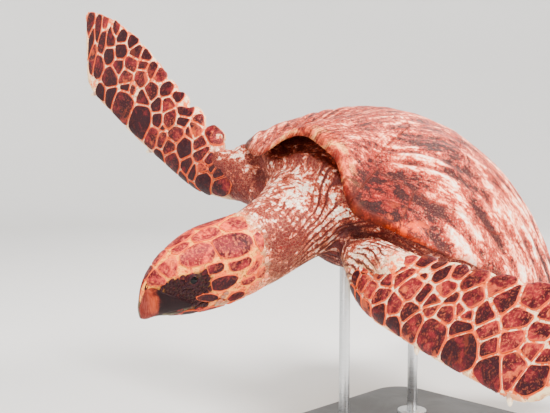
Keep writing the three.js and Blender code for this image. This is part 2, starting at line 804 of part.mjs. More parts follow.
// The short tail tapers to a blunt tip.
function tailBody() {
  // Distance behind the middle of the shell, half width, bottom, top.
  const stations = [
    [300, 40, -30, 20],
    [345, 30, -24, 16],
    [390, 18, -17, 12],
    [425, 9, -11, 7],
    [446, 3, -6, 0],
  ];
  const rings = stations.map(([back, halfWidth, bottom, top]) => {
    const ring = roundedRing(halfWidth, TAIL_LEVEL + bottom, TAIL_LEVEL + top, 2, 12);
    return ring.map((point) => point.setY(back));
  });
  return skinLimb(rings);
}
addPiece(turtle, 'tail', geometryOf(solidOf(tailBody()).subtract(trunkRoom)), neckMaterial());

// The stand -----------------------------------------------------------------------------------

const model = new THREE.Group();
model.add(turtle);

// The flat base, with its four corners rounded.
function baseBody() {
  const x = BASE_WIDTH / 2 - BASE_CORNER;
  const y = BASE_LENGTH / 2 - BASE_CORNER;
  const outline = new THREE.Shape();
  [[x, y], [-x, y], [-x, -y], [x, -y]].forEach(([cornerX, cornerY], corner) => {
    const from = (corner * FULL_TURN) / 4;
    outline.absarc(cornerX, cornerY, BASE_CORNER, from, from + FULL_TURN / 4);
  });
  outline.closePath();
  return new THREE.ExtrudeGeometry(outline, {
    depth: BASE_THICKNESS,
    bevelEnabled: false,
    curveSegments: 8,
  });
}
addPiece(model, 'stand_base', baseBody(), baseMaterial());

const plastronInPlace = solidOf(plastronBody(GAP).applyMatrix4(turtle.matrixWorld));

// A rod with a foot flange, and a pad that lies against the plastron and is hollowed to fit it.
function rodSolid(alongShell) {
  const bottom = BASE_THICKNESS + GAP;
  const padLevel = PLASTRON_LEVEL - PAD_THICKNESS / 2 + PAD_SINK;
  const bellyAt = new THREE.Vector3(0, alongShell, padLevel);
  bellyAt.applyMatrix4(turtle.matrixWorld);
  const standing = (radius, height, level) => {
    const cylinder = new THREE.CylinderGeometry(radius, radius, height, 24);
    cylinder.rotateX(Math.PI / 2);
    return solidOf(cylinder.translate(bellyAt.x, bellyAt.y, level + height / 2));
  };
  const pad = new THREE.CylinderGeometry(PAD_RADIUS, PAD_RADIUS, PAD_THICKNESS, 24);
  pad.rotateX(Math.PI / 2);
  pad.applyQuaternion(turtle.quaternion);
  pad.translate(bellyAt.x, bellyAt.y, bellyAt.z);
  return standing(ROD_RADIUS, bellyAt.z - bottom, bottom)
    .add(standing(FLANGE_RADIUS, FLANGE_THICKNESS, bottom))
    .add(solidOf(pad))
    .subtract(plastronInPlace);
}
for (const [name, alongShell] of Object.entries(RODS)) {
  addPiece(model, `stand_rod_${name}`, geometryOf(rodSolid(alongShell)), rodMaterial());
}

export default model;
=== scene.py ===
import math

import bpy
import numpy as np
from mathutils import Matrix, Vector


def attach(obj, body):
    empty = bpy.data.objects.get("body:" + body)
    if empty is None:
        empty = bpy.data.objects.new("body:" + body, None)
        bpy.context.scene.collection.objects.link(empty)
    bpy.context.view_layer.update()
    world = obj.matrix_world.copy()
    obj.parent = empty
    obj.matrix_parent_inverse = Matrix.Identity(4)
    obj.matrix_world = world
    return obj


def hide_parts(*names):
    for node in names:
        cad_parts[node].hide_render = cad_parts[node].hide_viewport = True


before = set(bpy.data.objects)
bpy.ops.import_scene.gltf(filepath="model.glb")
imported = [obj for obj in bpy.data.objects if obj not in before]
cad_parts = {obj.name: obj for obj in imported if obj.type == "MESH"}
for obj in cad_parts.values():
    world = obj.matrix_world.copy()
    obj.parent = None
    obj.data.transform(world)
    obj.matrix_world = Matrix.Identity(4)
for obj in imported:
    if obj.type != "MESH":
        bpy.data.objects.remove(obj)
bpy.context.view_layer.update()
chance = np.random.default_rng(7)

# ---------------------------------------------------------------------------------------------
# The carapace. A hawksbill's shell is a low bony dome under thick, clear-to-brown horn scutes:
# a nuchal over the neck, five vertebrals, four pairs of costals and a rim of marginals. Each
# scute grew outwards from its rear corner, so its dark streaks fan forwards from there.
# ---------------------------------------------------------------------------------------------

# The turtle is shaped level, in millimetres, with the middle of its shell's rim as origin, -Y
# ahead and +X to its left. It is then pitched and banked and lifted to its place on the stand.
HEIGHT_OVER_FLOOR = 400
NOSE_UP = math.radians(19.4)
LEFT_SIDE_DOWN = math.radians(19)


def turn_about_x(angle):
    c, s = math.cos(angle), math.sin(angle)
    return np.array([[1, 0, 0], [0, c, -s], [0, s, c]])


def turn_about_y(angle):
    c, s = math.cos(angle), math.sin(angle)
    return np.array([[c, 0, s], [0, 1, 0], [-s, 0, c]])


TURTLE_TURN = turn_about_x(-NOSE_UP) @ turn_about_y(LEFT_SIDE_DOWN)


def in_place(points):
    """Points of the level turtle, in millimetres, to metres over the floor."""
    return (np.asarray(points, float) @ TURTLE_TURN.T + [0, 0, HEIGHT_OVER_FLOOR]) * 0.001


def between(low, high, share):
    return low + (high - low) * share


def ease(low, high, value):
    """0 below low, 1 above high and a soft step between."""
    share = np.clip((np.asarray(value, float) - low) / (high - low), 0, 1)
    return share * share * (3 - 2 * share)


def turn_from(start, angle):
    """The turn from one angle to another, the short way round."""
    return np.arctan2(np.sin(angle - start), np.cos(angle - start))


def new_piece(name, points, faces, finish, measures=None, layout=None, on_turtle=True):
    """A smooth mesh object. Measures are values per vertex and layout is its OFBake map."""
    mesh = bpy.data.meshes.new(name)
    places = in_place(points) if on_turtle else np.asarray(points, float)
    mesh.from_pydata(places.tolist(), [], faces)
    for label, values in (measures or {}).items():
        values = np.asarray(values, np.float32)
        kind, field = ("FLOAT_VECTOR", "vector") if values.ndim == 2 else ("FLOAT", "value")
        mesh.attributes.new(label, kind, "POINT").data.foreach_set(field, values.ravel())
    if layout is not None:
        corners = np.zeros(len(mesh.loops), np.int32)
        mesh.loops.foreach_get("vertex_index", corners)
        sheet = mesh.uv_layers.new(name="OFBake")
        sheet.uv.foreach_set("vector", np.asarray(layout, np.float32)[corners].ravel())
    mesh.shade_smooth()
    mesh.materials.append(finish.looks)
    piece = bpy.data.objects.new(name, mesh)
    bpy.context.scene.collection.objects.link(piece)
    return piece


def ring_faces(rings, steps, first=0):
    """Quads between rings of points that close on themselves."""
    faces = []
    for ring in range(rings - 1):
        start = first + ring * steps
        for step in range(steps):
            after = (step + 1) % steps
            faces.append((start + step, start + after, start + steps + after, start + steps + step))
    return faces


def fan_faces(pole, start, steps, forward):
    """Triangles between one point and a ring."""
    order = [(step, (step + 1) % steps) for step in range(steps)]
    if forward:
        return [(pole, start + one, start + two) for one, two in order]
    return [(pole, start + two, start + one) for one, two in order]


def paint(code):
    """A colour given as it looks, for a shader's socket."""
    parts = [int(code[at:at + 2], 16) / 255 for at in (1, 3, 5)]
    return [p / 12.92 if p < 0.04045 else ((p + 0.055) / 1.055) ** 2.4 for p in parts] + [1.0]


class Nodes:
    """Shader nodes while they are joined up."""

    def node(self, kind, sockets=None, **settings):
        """Adds a node and gives its outputs. A socket is fed by a value, a colour's code or
        another node's output."""
        node = self.tree.nodes.new(kind)
        for name, value in settings.items():
            setattr(node, name, value)
        for name, value in (sockets or {}).items():
            if isinstance(value, bpy.types.NodeSocket):
                self.tree.links.new(value, node.inputs[name])
            else:
                node.inputs[name].default_value = paint(value) if isinstance(value, str) else value
        return node.outputs

    def blend(self, share, one, two, blend_type="MIX"):
        """Colour one where share is 0, colour two where it is 1."""
        return self.node("ShaderNodeMix", {0: share, 6: one, 7: two}, data_type="RGBA",
                         blend_type=blend_type)[2]

    def sums(self, operation, one, two=0.5):
        return self.node("ShaderNodeMath", {0: one, 1: two}, operation=operation)[0]

    def times(self, one, two, added=None):
        """One times two, and what is added to it."""
        if added is None:
            return self.sums("MULTIPLY", one, two)
        return self.node("ShaderNodeMath", {0: one, 1: two, 2: added}, operation="MULTIPLY_ADD")[0]

    def stretch(self, value, low, high, to_low=0.0, to_high=1.0):
        """A soft step from to_low where the value is low to to_high where it is high."""
        return self.node("ShaderNodeMapRange", {
            "Value": value, "From Min": low, "From Max": high, "To Min": to_low, "To Max": to_high,
        }, interpolation_type="SMOOTHSTEP")["Result"]

    def measure(self, name, output="Fac"):
        """What the mesh carries under that name at each point."""
        return self.node("ShaderNodeAttribute", attribute_name=name)[output]

    def scaled(self, vector, scale):
        """The same places, stretched so that a pattern on them grows finer or coarser."""
        return self.node("ShaderNodeMapping", {"Vector": vector, "Scale": scale})[0]

    def noise(self, vector, scale, detail, roughness=0.5, distortion=0.0):
        return self.node("ShaderNodeTexNoise", {
            "Vector": vector, "Scale": scale, "Detail": detail, "Roughness": roughness,
            "Distortion": distortion})

    def effect(self, effect, **sockets):
        sockets = {name.replace("_", " "): value for name, value in sockets.items()}
        return self.node("ShaderNodeGroup", sockets, node_tree=effect.tree)


class Effect(Nodes):
    """A shader node group with named sockets."""

    def __init__(self, name, inputs, outputs):
        self.tree = bpy.data.node_groups.new(name, "ShaderNodeTree")
        for label, kind, value in inputs:
            socket = self.tree.interface.new_socket(label, in_out="INPUT", socket_type=kind)
            if value is not None:
                socket.default_value = value
        for label in outputs:
            self.tree.interface.new_socket(label, in_out="OUTPUT", socket_type="NodeSocketFloat")
        self.given = self.tree.nodes.new("NodeGroupInput").outputs
        self.ends = self.tree.nodes.new("NodeGroupOutput").inputs

    def put_out(self, label, socket):
        self.tree.links.new(socket, self.ends[label])


# Mottling, used on horn, plates and skin alike: cloudy patches with finer flecks in them.
mottling = Effect(
    "mottling",
    [("Vector", "NodeSocketVector", None), ("Scale", "NodeSocketFloat", 20.0),
     ("Fleck Scale", "NodeSocketFloat", 90.0), ("Contrast", "NodeSocketFloat", 1.0)],
    ["Patches", "Flecks"],
)
clouds = mottling.noise(mottling.given["Vector"], mottling.given["Scale"], 4.0, 0.62, 0.6)
flecks = mottling.noise(mottling.given["Vector"], mottling.given["Fleck Scale"], 3.0, 0.7)
for cloud, label in ((clouds, "Patches"), (flecks, "Flecks")):
    centred = mottling.sums("SUBTRACT", cloud["Fac"], 0.5)
    spread = mottling.times(centred, mottling.given["Contrast"])
    held = mottling.node("ShaderNodeClamp", {"Value": mottling.times(spread, 3.0, 0.5)})
    mottling.put_out(label, held[0])


class Finish(Nodes):
    """A material and its shader nodes. Its place is the object's own coordinates."""

    def __init__(self, name, **fixed):
        self.looks = bpy.data.materials.new(name)
        self.looks.use_nodes = True
        self.tree = self.looks.node_tree
        self.shader = next(n for n in self.tree.nodes if n.type == "BSDF_PRINCIPLED").inputs
        self.place = self.node("ShaderNodeTexCoord")["Object"]
        for label, value in fixed.items():
            self.shader[label.replace("_", " ")].default_value = value

    def mottle(self, scale, fleck_scale, contrast):
        return self.effect(mottling, Vector=self.place, Scale=scale, Fleck_Scale=fleck_scale,
                           Contrast=contrast)

    def join(self, colour, roughness, height=None, strength=0.0, depth=0.0):
        """Feeds the shader: colour, roughness, and relief of that strength and depth in metres."""
        self.tree.links.new(colour, self.shader["Base Color"])
        self.tree.links.new(roughness, self.shader["Roughness"])
        if height is not None:
            relief = self.node("ShaderNodeBump", {
                "Height": height, "Strength": strength, "Distance": depth})
            self.tree.links.new(relief[0], self.shader["Normal"])


# The shell seen from above is two half ovals that meet at its widest place.
SHELL_FRONT_LENGTH, SHELL_REAR_LENGTH, SHELL_HALF_WIDTH = 264, 436, 266
SHELL_FRONT_POWER, SHELL_REAR_POWER = 2.3, 1.8
DOME_HEIGHT, DOME_POWER = 165, 2.13
ARCH_HEIGHT, ARCH_SPREAD, ARCH_TO_LEFT, ARCH_POWER = 64, math.radians(18.5), math.radians(4), 4
MARGINAL_INNER = 0.84
MARGINALS_A_SIDE = 12
NUCHAL_HALF_ANGLE = math.radians(10)
REAR_TOOTH = 0.028


def rim_radius(angle):
    ahead = np.cos(angle)
    length = np.where(ahead > 0, SHELL_FRONT_LENGTH, SHELL_REAR_LENGTH)
    power = np.where(ahead > 0, SHELL_FRONT_POWER, SHELL_REAR_POWER)
    across = np.abs(np.sin(angle)) / SHELL_HALF_WIDTH
    return (across ** power + (np.abs(ahead) / length) ** power) ** (-1 / power)


def shell_top(angle, reach):
    off_arch = np.abs(turn_from(ARCH_TO_LEFT, angle))
    arch = ARCH_HEIGHT * np.exp(-((off_arch / ARCH_SPREAD) ** ARCH_POWER))
    return arch * reach ** 3 + DOME_HEIGHT * (1 - reach ** DOME_POWER)


def plan_point(angle, reach):
    """A place in the shell's plan. Angles run from straight ahead to the left."""
    radius = rim_radius(angle) * reach
    return np.stack([radius * np.sin(angle), -radius * np.cos(angle)], -1)


def over_shell(plan):
    """Angle and reach of places in the plan, and the height of the shell over them."""
    angle = np.arctan2(plan[..., 0], -plan[..., 1])
    reach = np.hypot(plan[..., 0], plan[..., 1]) / rim_radius(angle)
    return angle, reach, shell_top(angle, reach)


# Half width and place of each vertebral's front edge, and of its side corners.
VERTEBRALS = [
    ((88, -205), (88, -204)),
    ((46, -118), (98, -50)),
    ((44, 12), (95, 74)),
    ((40, 135), (86, 196)),
    ((30, 254), (56, 300)),
]
COSTAL_SEAMS = [math.radians(angle) for angle in (84, 116, 143, 162)]
FIRST_COSTAL_ANGLE = math.atan2(VERTEBRALS[0][0][0], -VERTEBRALS[0][0][1])


def marginal_seams():
    """Angles between the marginals of one side, at equal steps along the rim."""
    angles = np.linspace(NUCHAL_HALF_ANGLE, math.pi, 721)
    rim = plan_point(angles, 1)
    travelled = np.concatenate([[0], np.cumsum(np.linalg.norm(np.diff(rim, axis=0), axis=1))])
    return np.interp(np.linspace(0, travelled[-1], MARGINALS_A_SIDE + 1), travelled, angles)


MARGINAL_SEAMS = marginal_seams()


def inner_line(start, end):
    """Corners along the inner line of the marginals."""
    steps = max(2, int(abs(end - start) / math.radians(2.5)))
    return [tuple(p) for p in plan_point(np.linspace(start, end, steps + 1), MARGINAL_INNER)]


def mirrored(outline):
    return [(-x, y) for x, y in reversed(outline)]


def vertebral_outline(number):
    front, corner = VERTEBRALS[number]
    if number == 0:
        rear = VERTEBRALS[1][0]
        line = inner_line(NUCHAL_HALF_ANGLE, FIRST_COSTAL_ANGLE)
        nuchal_edge = inner_line(-NUCHAL_HALF_ANGLE, NUCHAL_HALF_ANGLE)[1:-1]
        return mirrored(line) + nuchal_edge + line + [rear, (-rear[0], rear[1])]
    if number + 1 < len(VERTEBRALS):
        left = [front, corner, VERTEBRALS[number + 1][0]]
        return mirrored(left) + left
    left = [front, corner] + inner_line(COSTAL_SEAMS[-1], math.pi)
    return mirrored(left[:-1]) + left


def costal_outline(number):
    start = FIRST_COSTAL_ANGLE if number == 0 else COSTAL_SEAMS[number - 1]
    front, corner = VERTEBRALS[number + 1]
    inner = [corner, front]
    if number > 0:
        inner.append(VERTEBRALS[number][1])
    return inner_line(start, COSTAL_SEAMS[number]) + inner


def marginal_outline(number):
    start, end = MARGINAL_SEAMS[number], MARGINAL_SEAMS[number + 1]
    tooth = REAR_TOOTH * float(ease(3, 8, number))
    shares = np.linspace(0, 1, 7)
    outer = plan_point(between(end, start, shares), 1 + tooth * (1 - shares) ** 2)
    return inner_line(start, end) + [tuple(p) for p in outer]


def nuchal_outline():
    outer = [tuple(plan_point(a, 1 - 0.015 * (1 - abs(a) / NUCHAL_HALF_ANGLE)))
             for a in np.linspace(NUCHAL_HALF_ANGLE, -NUCHAL_HALF_ANGLE, 7)]
    return inner_line(-NUCHAL_HALF_ANGLE, NUCHAL_HALF_ANGLE) + outer


def even_outline(outline, count):
    """The same closed outline with its points at equal steps."""
    corners = np.array(outline + [outline[0]], float)
    travelled = np.concatenate([[0], np.cumsum(np.linalg.norm(np.diff(corners, axis=0), axis=1))])
    steps = np.linspace(0, travelled[-1], count + 1)[:-1]
    return np.stack([np.interp(steps, travelled, corners[:, axis]) for axis in (0, 1)], -1)


def soft_waves(points, size, seed, octaves=5):
    """Smooth random heights between about -1 and 1, with waves of about that size."""
    pick = np.random.default_rng(seed)
    heights = np.zeros(points.shape[:-1])
    for _ in range(octaves * 3):
        way = pick.normal(size=points.shape[-1])
        way *= 2 * math.pi / size * pick.uniform(0.6, 1.7) / np.linalg.norm(way)
        heights += np.sin(points @ way + pick.uniform(0, 2 * math.pi))
    return heights / math.sqrt(octaves * 3) * 1.2


# Streaked horn. The grain measure runs across, round and along the shell, so that the streaks
# lie lengthwise and fan out a little from where each scute began.
horn = Finish("shell horn", Specular_IOR_Level=0.12)
grain = horn.measure("grain", "Vector")
streaks = horn.noise(horn.scaled(grain, (1.0, 1.6, 1.0)), 1.0, 6.0, 0.6, 0.5)["Fac"]
fine_streaks = horn.noise(horn.scaled(grain, (4.2, 5.0, 3.4)), 1.0, 5.0, 0.72)["Fac"]
shell_mottle = horn.mottle(11.0, 170.0, 1.2)
fine_grain = horn.mottle(120.0, 420.0, 1.2)
growth_lines = horn.sums("SINE", horn.times(horn.measure("edge"), 1.35))
darkness = horn.times(fine_streaks, 0.55, streaks)
# Painted shade and light go into the darkness: darker in the waves' troughs and beside the neck, lighter on
# their ridges and towards the rear.
for part, weight in ((shell_mottle["Patches"], 0.14), (fine_grain["Patches"], 0.2),
                     (growth_lines, 0.02), (horn.measure("painted_shade_and_light"), 0.12)):
    darkness = horn.times(part, weight, darkness)
colour = horn.blend(horn.stretch(darkness, 0.74, 0.93), "#f56c46", "#8f1d0e")
colour = horn.blend(horn.stretch(darkness, 0.93, 1.11), colour, "#30060a")
colour = horn.blend(horn.stretch(darkness, 0.85, 0.73), colour, "#ffa884")
colour = horn.blend(horn.stretch(darkness, 0.74, 0.61), colour, "#fff0da")
bright_flecks = horn.times(horn.stretch(fine_grain["Flecks"], 0.6, 1.0, 0.0, 0.4),
                           horn.stretch(darkness, 1.15, 0.95, 0.25, 1.0))
colour = horn.blend(bright_flecks, colour, "#ffb08a")
# Painted shade: the horn near the rim beside the neck is darkened to red-brown.
colour = horn.blend(horn.measure("painted_shade_beside_neck"), colour, "#bc4632", "MULTIPLY")
colour = horn.blend(horn.stretch(horn.measure("edge"), 0.0, 3.0, 0.35, 0.0), colour, "#6d2317")

# The rolled lip over the neck is amber, blotched with red. The rim beside it gets a painted orange glow,
# and the roof, which is the scutes' under side, is painted orange and dark red, a painted glow in its
# shade.
lip_patches = horn.mottle(34.0, 170.0, 1.4)["Patches"]
lip_colour = horn.blend(horn.stretch(lip_patches, 0.12, 0.42), "#ffb768", "#ea6236")
lip_colour = horn.blend(horn.stretch(lip_patches, 0.55, 0.85), lip_colour, "#8a2016")
lip_share = horn.times(horn.measure("lip"), horn.stretch(darkness, 1.05, 0.85, 0.15, 1.0))
colour = horn.blend(lip_share, colour, lip_colour)
glow_patches = horn.sums("ADD", lip_patches, fine_grain["Patches"])
painted_rim_glow = horn.times(horn.measure("painted_rim_glow"), horn.stretch(glow_patches, 0.9, 1.5, 0.0, 0.75))
colour = horn.blend(painted_rim_glow, colour, "#ec4c0c")
roof_grain = horn.times(fine_grain["Patches"], 0.8, lip_patches)
roof_glow_colour = horn.blend(horn.stretch(roof_grain, 0.5, 1.3), "#ea6030", "#66140e")
colour = horn.blend(horn.measure("painted_roof_glow"), colour, roof_glow_colour)
scratches = horn.times(fine_streaks, 2.2, shell_mottle["Flecks"])
horn.join(colour, horn.stretch(shell_mottle["Flecks"], 0.0, 1.0, 0.4, 0.58),
          horn.times(growth_lines, 0.12, scratches), 0.6, 0.0007)

SCUTE_THICKNESS = 7
MARGINAL_THICKNESS = 13
RIM_THICKNESS = 7
ROLLED_LIP = 9
RIM_SCUTE_STEPS, DOME_SCUTE_STEPS = 132, 220
WAVE_HEIGHT = 2.0
GRAIN_START = np.array([0, -345.0])
RING_SHARES = 1 - np.array([0, 0.012, 0.03, 0.055, 0.09, 0.13, 0.18, 0.24, 0.31, 0.39, 0.47,
                            0.56, 0.65, 0.74, 0.83, 0.91, 0.97])


def grain_places(plan):
    """Places in the shell's grain: round the fan that opens backwards from the neck, and along it."""
    off = plan - GRAIN_START
    round_fan = np.arctan2(off[..., 0], off[..., 1]) * 330
    return np.stack([round_fan, np.linalg.norm(off, axis=-1)], -1)


def grain_waves(plan):
    """Low ridges and troughs that run along the grain, higher towards the shell's sides."""
    places = grain_places(plan)
    waves = soft_waves(places / [1.0, 5.5], 38, 3) * ease(110, 240, places[..., 1])
    return waves * between(0.5, 1.0, ease(60, 170, np.abs(plan[..., 0])))


def new_scute(name, outline, grown_from, on_rim):
    """One scute. Its rear edge lifts over the next one and its front edge tucks down."""
    count = RIM_SCUTE_STEPS if on_rim else DOME_SCUTE_STEPS
    edge = even_outline(outline, count)
    middle = edge.mean(0)
    ahead = np.roll(edge, -1, 0) - np.roll(edge, 1, 0)
    ahead /= np.linalg.norm(ahead, axis=1)[:, None]
    spoke = edge - middle
    reach_out = np.linalg.norm(spoke, axis=1)
    squareness = np.abs(ahead[:, 0] * spoke[:, 1] - ahead[:, 1] * spoke[:, 0]) / reach_out
    rearward = spoke[:, 1] / reach_out
    plan = middle + spoke[None] * RING_SHARES[:, None, None] * (1 - 0.2 / reach_out)[None, :, None]
    inward = (1 - RING_SHARES)[:, None] * (reach_out * squareness)[None]
    angle, reach, height = over_shell(plan)
    height = height + WAVE_HEIGHT * grain_waves(plan)
    lift = 0.5 if on_rim else 1.1
    height += lift * ease(0, 1, rearward)[None] * np.exp(-inward / 14)
    height -= 0.4 * ease(0, 1, -rearward)[None] * np.exp(-inward / 9)
    height -= 0.5 * np.clip(1 - inward / 1.5, 0, 1) ** 2
    lip, painted_rim_glow = np.zeros_like(height), np.zeros_like(height)
    thickness = np.full(count, float(SCUTE_THICKNESS))
    roll = np.zeros(count)
    if on_rim:
        outward = ease(MARGINAL_INNER, 1, reach[0])
        in_front = ease(1.0, 0.45, np.abs(angle - ARCH_TO_LEFT))
        thickness = between(MARGINAL_THICKNESS, RIM_THICKNESS, outward)
        near_rim = np.clip((reach - 0.93) / 0.07, 0, 1)
        height -= between(3.0, 5.5, in_front) * near_rim ** 2.4
        roll = ROLLED_LIP * in_front[0] * outward
        lip = ease(0.93, 1.0, reach) * 0.75 * ease(0.48, 0.28, np.abs(angle - ARCH_TO_LEFT))
        # A painted orange glow on the rim, on each side some way back from the neck.
        painted_rim_glow = ease(0.9, 0.99, reach) * ease(1.0, 0.85, angle) * ease(0.6, 0.75, angle)
    top = np.concatenate([plan, height[..., None]], -1)
    below = top[0].copy()
    below[:, 2] -= thickness * 0.62 + roll
    inset = below.copy()
    inset[:, :2] = middle + (below[:, :2] - middle) * 0.965
    inset[:, 2] = over_shell(inset[:, :2])[2] - thickness - roll
    rings = [inset, below] + list(top)
    last = np.append(middle, over_shell(middle)[2] + WAVE_HEIGHT * grain_waves(middle[None])[0])
    under = np.append(middle, over_shell(middle)[2] - (10 if on_rim else SCUTE_THICKNESS))
    points = np.vstack(rings + [last, under])
    faces = ring_faces(len(rings), count)
    faces += fan_faces(len(points) - 2, (len(rings) - 1) * count, count, True)
    faces += fan_faces(len(points) - 1, 0, count, False)
    away = points[:, :2] - grown_from
    distance = np.linalg.norm(away, axis=1)
    round_it = np.arctan2(away[:, 0], -away[:, 1]) * ease(0, 30, distance)
    grain = grain_places(points[:, :2])
    grain_values = np.column_stack([grain[:, 0] / 14, round_it * 0.9, grain[:, 1] / 58])
    angle, reach, _ = over_shell(points[:, :2])
    # Painted shade and light for the horn: darker in the troughs of the low waves and beside the neck,
    # lighter on their ridges and towards the rear.
    beside_neck = ease(0.34, 0.46, angle) * ease(0.9, 0.66, angle)
    painted_shading = 1.9 * beside_neck * ease(0.82, 0.96, reach) - grain_waves(points[:, :2])
    painted_shading -= 0.45 * ease(0.8, 1.6, np.abs(angle))
    edge_values = np.concatenate([np.zeros(2 * count), inward.ravel(), [reach_out.min()], [0]])
    lip_values = np.concatenate([np.repeat(lip[:1], 2, 0).ravel(), lip.ravel(), [0, 0]])
    glow_values = np.concatenate([np.repeat(painted_rim_glow[:1], 2, 0).ravel(), painted_rim_glow.ravel(), [0, 0]])
    # Among these measures are painted shade beside the neck, painted shade and light over the waves, and
    # the painted glows of the rim and the roof.
    piece = new_piece(name, points, faces, horn, {
        "grain": grain_values, "edge": edge_values, "lip": lip_values, "painted_rim_glow": glow_values,
        "painted_shade_and_light": painted_shading, "painted_shade_beside_neck": 0.85 * beside_neck * ease(0.72, 0.9, reach),
        "painted_roof_glow": np.repeat([1.0, 0.15, 0.0, 1.0], [count, count, len(points) - 2 * count - 1, 1])})
    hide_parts(name.replace("scute_", ""))
    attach(piece, "root")


def rear_corner(outline):
    """The corner a costal grew from: rear and uppermost, drawn a little into the scute."""
    corners = np.array(outline, float)
    middle = corners.mean(0)
    pull = corners[:, 1] * 0.8 - np.abs(corners[:, 0])
    return between(corners[np.argmax(pull)], middle, 0.25)


new_scute("scute_nuchal", nuchal_outline(), np.array([0, -215.0]), True)
for number in range(len(VERTEBRALS)):
    outline = vertebral_outline(number)
    rear = max(y for _, y in outline)
    new_scute(f"scute_vertebral_{number + 1}", outline, np.array([0, rear - 22.0]), False)
for number in range(len(COSTAL_SEAMS)):
    left = costal_outline(number)
    for side, outline in (("left", left), ("right", mirrored(left))):
        new_scute(f"scute_costal_{side}_{number + 1}", outline, rear_corner(outline), False)
for number in range(MARGINALS_A_SIDE):
    left = marginal_outline(number)
    for side, sign, outline in (("left", 1, left), ("right", -1, mirrored(left))):
        corner = plan_point(sign * MARGINAL_SEAMS[number + 1], 0.97)
        new_scute(f"scute_marginal_{side}_{number + 1}", outline, corner, True)

# ---------------------------------------------------------------------------------------------
# The plastron. A flat plate of pale horn closes the shell under the belly. Two rows of broad
# scutes meet along its middle, and it curls up where the bridge joins it to the carapace.
# ---------------------------------------------------------------------------------------------

PLASTRON_REACH = 0.7
PLASTRON_LEVEL = -85
PLASTRON_THICKNESS = 10
PLASTRON_RISE = 12
PLASTRON_SEAMS = [-150, -95, -20, 75, 165, 245]

belly_horn = Finish("belly horn")
belly_mottle = belly_horn.mottle(9.0, 60.0, 1.0)
colour = belly_horn.blend(belly_horn.stretch(belly_mottle["Patches"], 0.45, 0.9), "#efd6a4", "#d9a36b")
colour = belly_horn.blend(belly_horn.stretch(belly_mottle["Flecks"], 0.7, 1.0, 0.0, 0.4), colour, "#a8603c")
seam_share = belly_horn.stretch(belly_horn.measure("seam"), 0.35, 1.0, 0.0, 0.75)
colour = belly_horn.blend(seam_share, colour, "#8f5a3a")
belly_horn.join(colour, belly_horn.stretch(belly_mottle["Flecks"], 0.0, 1.0, 0.38, 0.55),
                belly_mottle["Flecks"], 0.25, 0.0005)


def belly_seam(plan):
    """1 on the seams between the plastron's scutes and 0 away from them."""
    off_middle = np.abs(plan[:, 0] + 1.5 * np.sin(plan[:, 1] / 23))
    bent = plan[:, 1] + 0.12 * np.abs(plan[:, 0])
    off_cross = np.min([np.abs(bent - seam_at) for seam_at in PLASTRON_SEAMS], axis=0)
    off_bridge = np.abs(np.abs(plan[:, 0]) - 118)
    return np.exp(-(np.minimum(np.minimum(off_middle, off_cross), off_bridge) / 1.7) ** 2)


def round_turns(steps):
    return np.linspace(0, 2 * math.pi, steps + 1)[:-1]


def closed_faces(rings, steps, inside_out=False):
    """Faces of a stack of rings whose two ends are closed by the two points that follow them."""
    faces = ring_faces(rings, steps)
    faces += fan_faces(rings * steps, 0, steps, False)
    faces += fan_faces(rings * steps + 1, (rings - 1) * steps, steps, True)
    return [face[::-1] for face in faces] if inside_out else faces


angles = round_turns(260)
reaches = np.concatenate([np.linspace(0.02, 0.97, 62), [0.985, 0.995, 1.0]]) * PLASTRON_REACH
rings = []
for reach in reaches:
    plan = plan_point(angles, reach)
    level = PLASTRON_LEVEL + PLASTRON_RISE * (reach / PLASTRON_REACH) ** 4 + 1.1 * belly_seam(plan)
    level += 2.6 * np.clip((reach / PLASTRON_REACH - 0.97) / 0.03, 0, 1) ** 2
    rings.append(np.column_stack([plan, level]))
upper = rings[-1].copy()
upper[:, 2] += PLASTRON_THICKNESS - 5
rings.append(upper)
points = np.vstack(rings + [[0, 0, PLASTRON_LEVEL], [0, 0, PLASTRON_LEVEL + PLASTRON_THICKNESS]])
faces = closed_faces(len(rings), len(angles), inside_out=True)
belly = new_piece("belly_plate", points, faces, belly_horn, {"seam": belly_seam(points[:, :2])})
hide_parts("plastron")
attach(belly, "root")

# ---------------------------------------------------------------------------------------------
# The skin. One tough, loose hide covers the trunk, neck, head, flippers and tail. It lies in
# long folds on the neck and shoulders, and thin and tight over the head and flipper blades.
# ---------------------------------------------------------------------------------------------

SKIN_DEPTH = 0.9


def smooth_between(at, table):
    """A smooth curve through a table's rows, whose first column is where each row applies."""
    table = np.asarray(table, float)
    at = np.asarray(at, float)
    stops = table[:, 0]
    gaps = np.diff(stops)
    row = np.clip(np.searchsorted(stops, at) - 1, 0, len(stops) - 2)
    share = np.clip((at - stops[row]) / gaps[row], 0, 1)
    columns = []
    for values in table.T[1:]:
        rise = np.diff(values) / gaps
        slope = np.concatenate([rise[:1], np.zeros(len(rise) - 1), rise[-1:]])
        mixed = (gaps[1:] * rise[:-1] + gaps[:-1] * rise[1:]) / (gaps[1:] + gaps[:-1])
        limit = 3 * np.minimum(np.abs(rise[:-1]), np.abs(rise[1:]))
        slope[1:-1] = np.where(rise[:-1] * rise[1:] > 0,
                               np.sign(mixed) * np.minimum(np.abs(mixed), limit), 0)
        columns.append(
            values[row] * (1 + 2 * share) * (1 - share) ** 2
            + slope[row] * gaps[row] * share * (1 - share) ** 2
            + values[row + 1] * share ** 2 * (3 - 2 * share)
            + slope[row + 1] * gaps[row] * share ** 2 * (share - 1))
    return columns


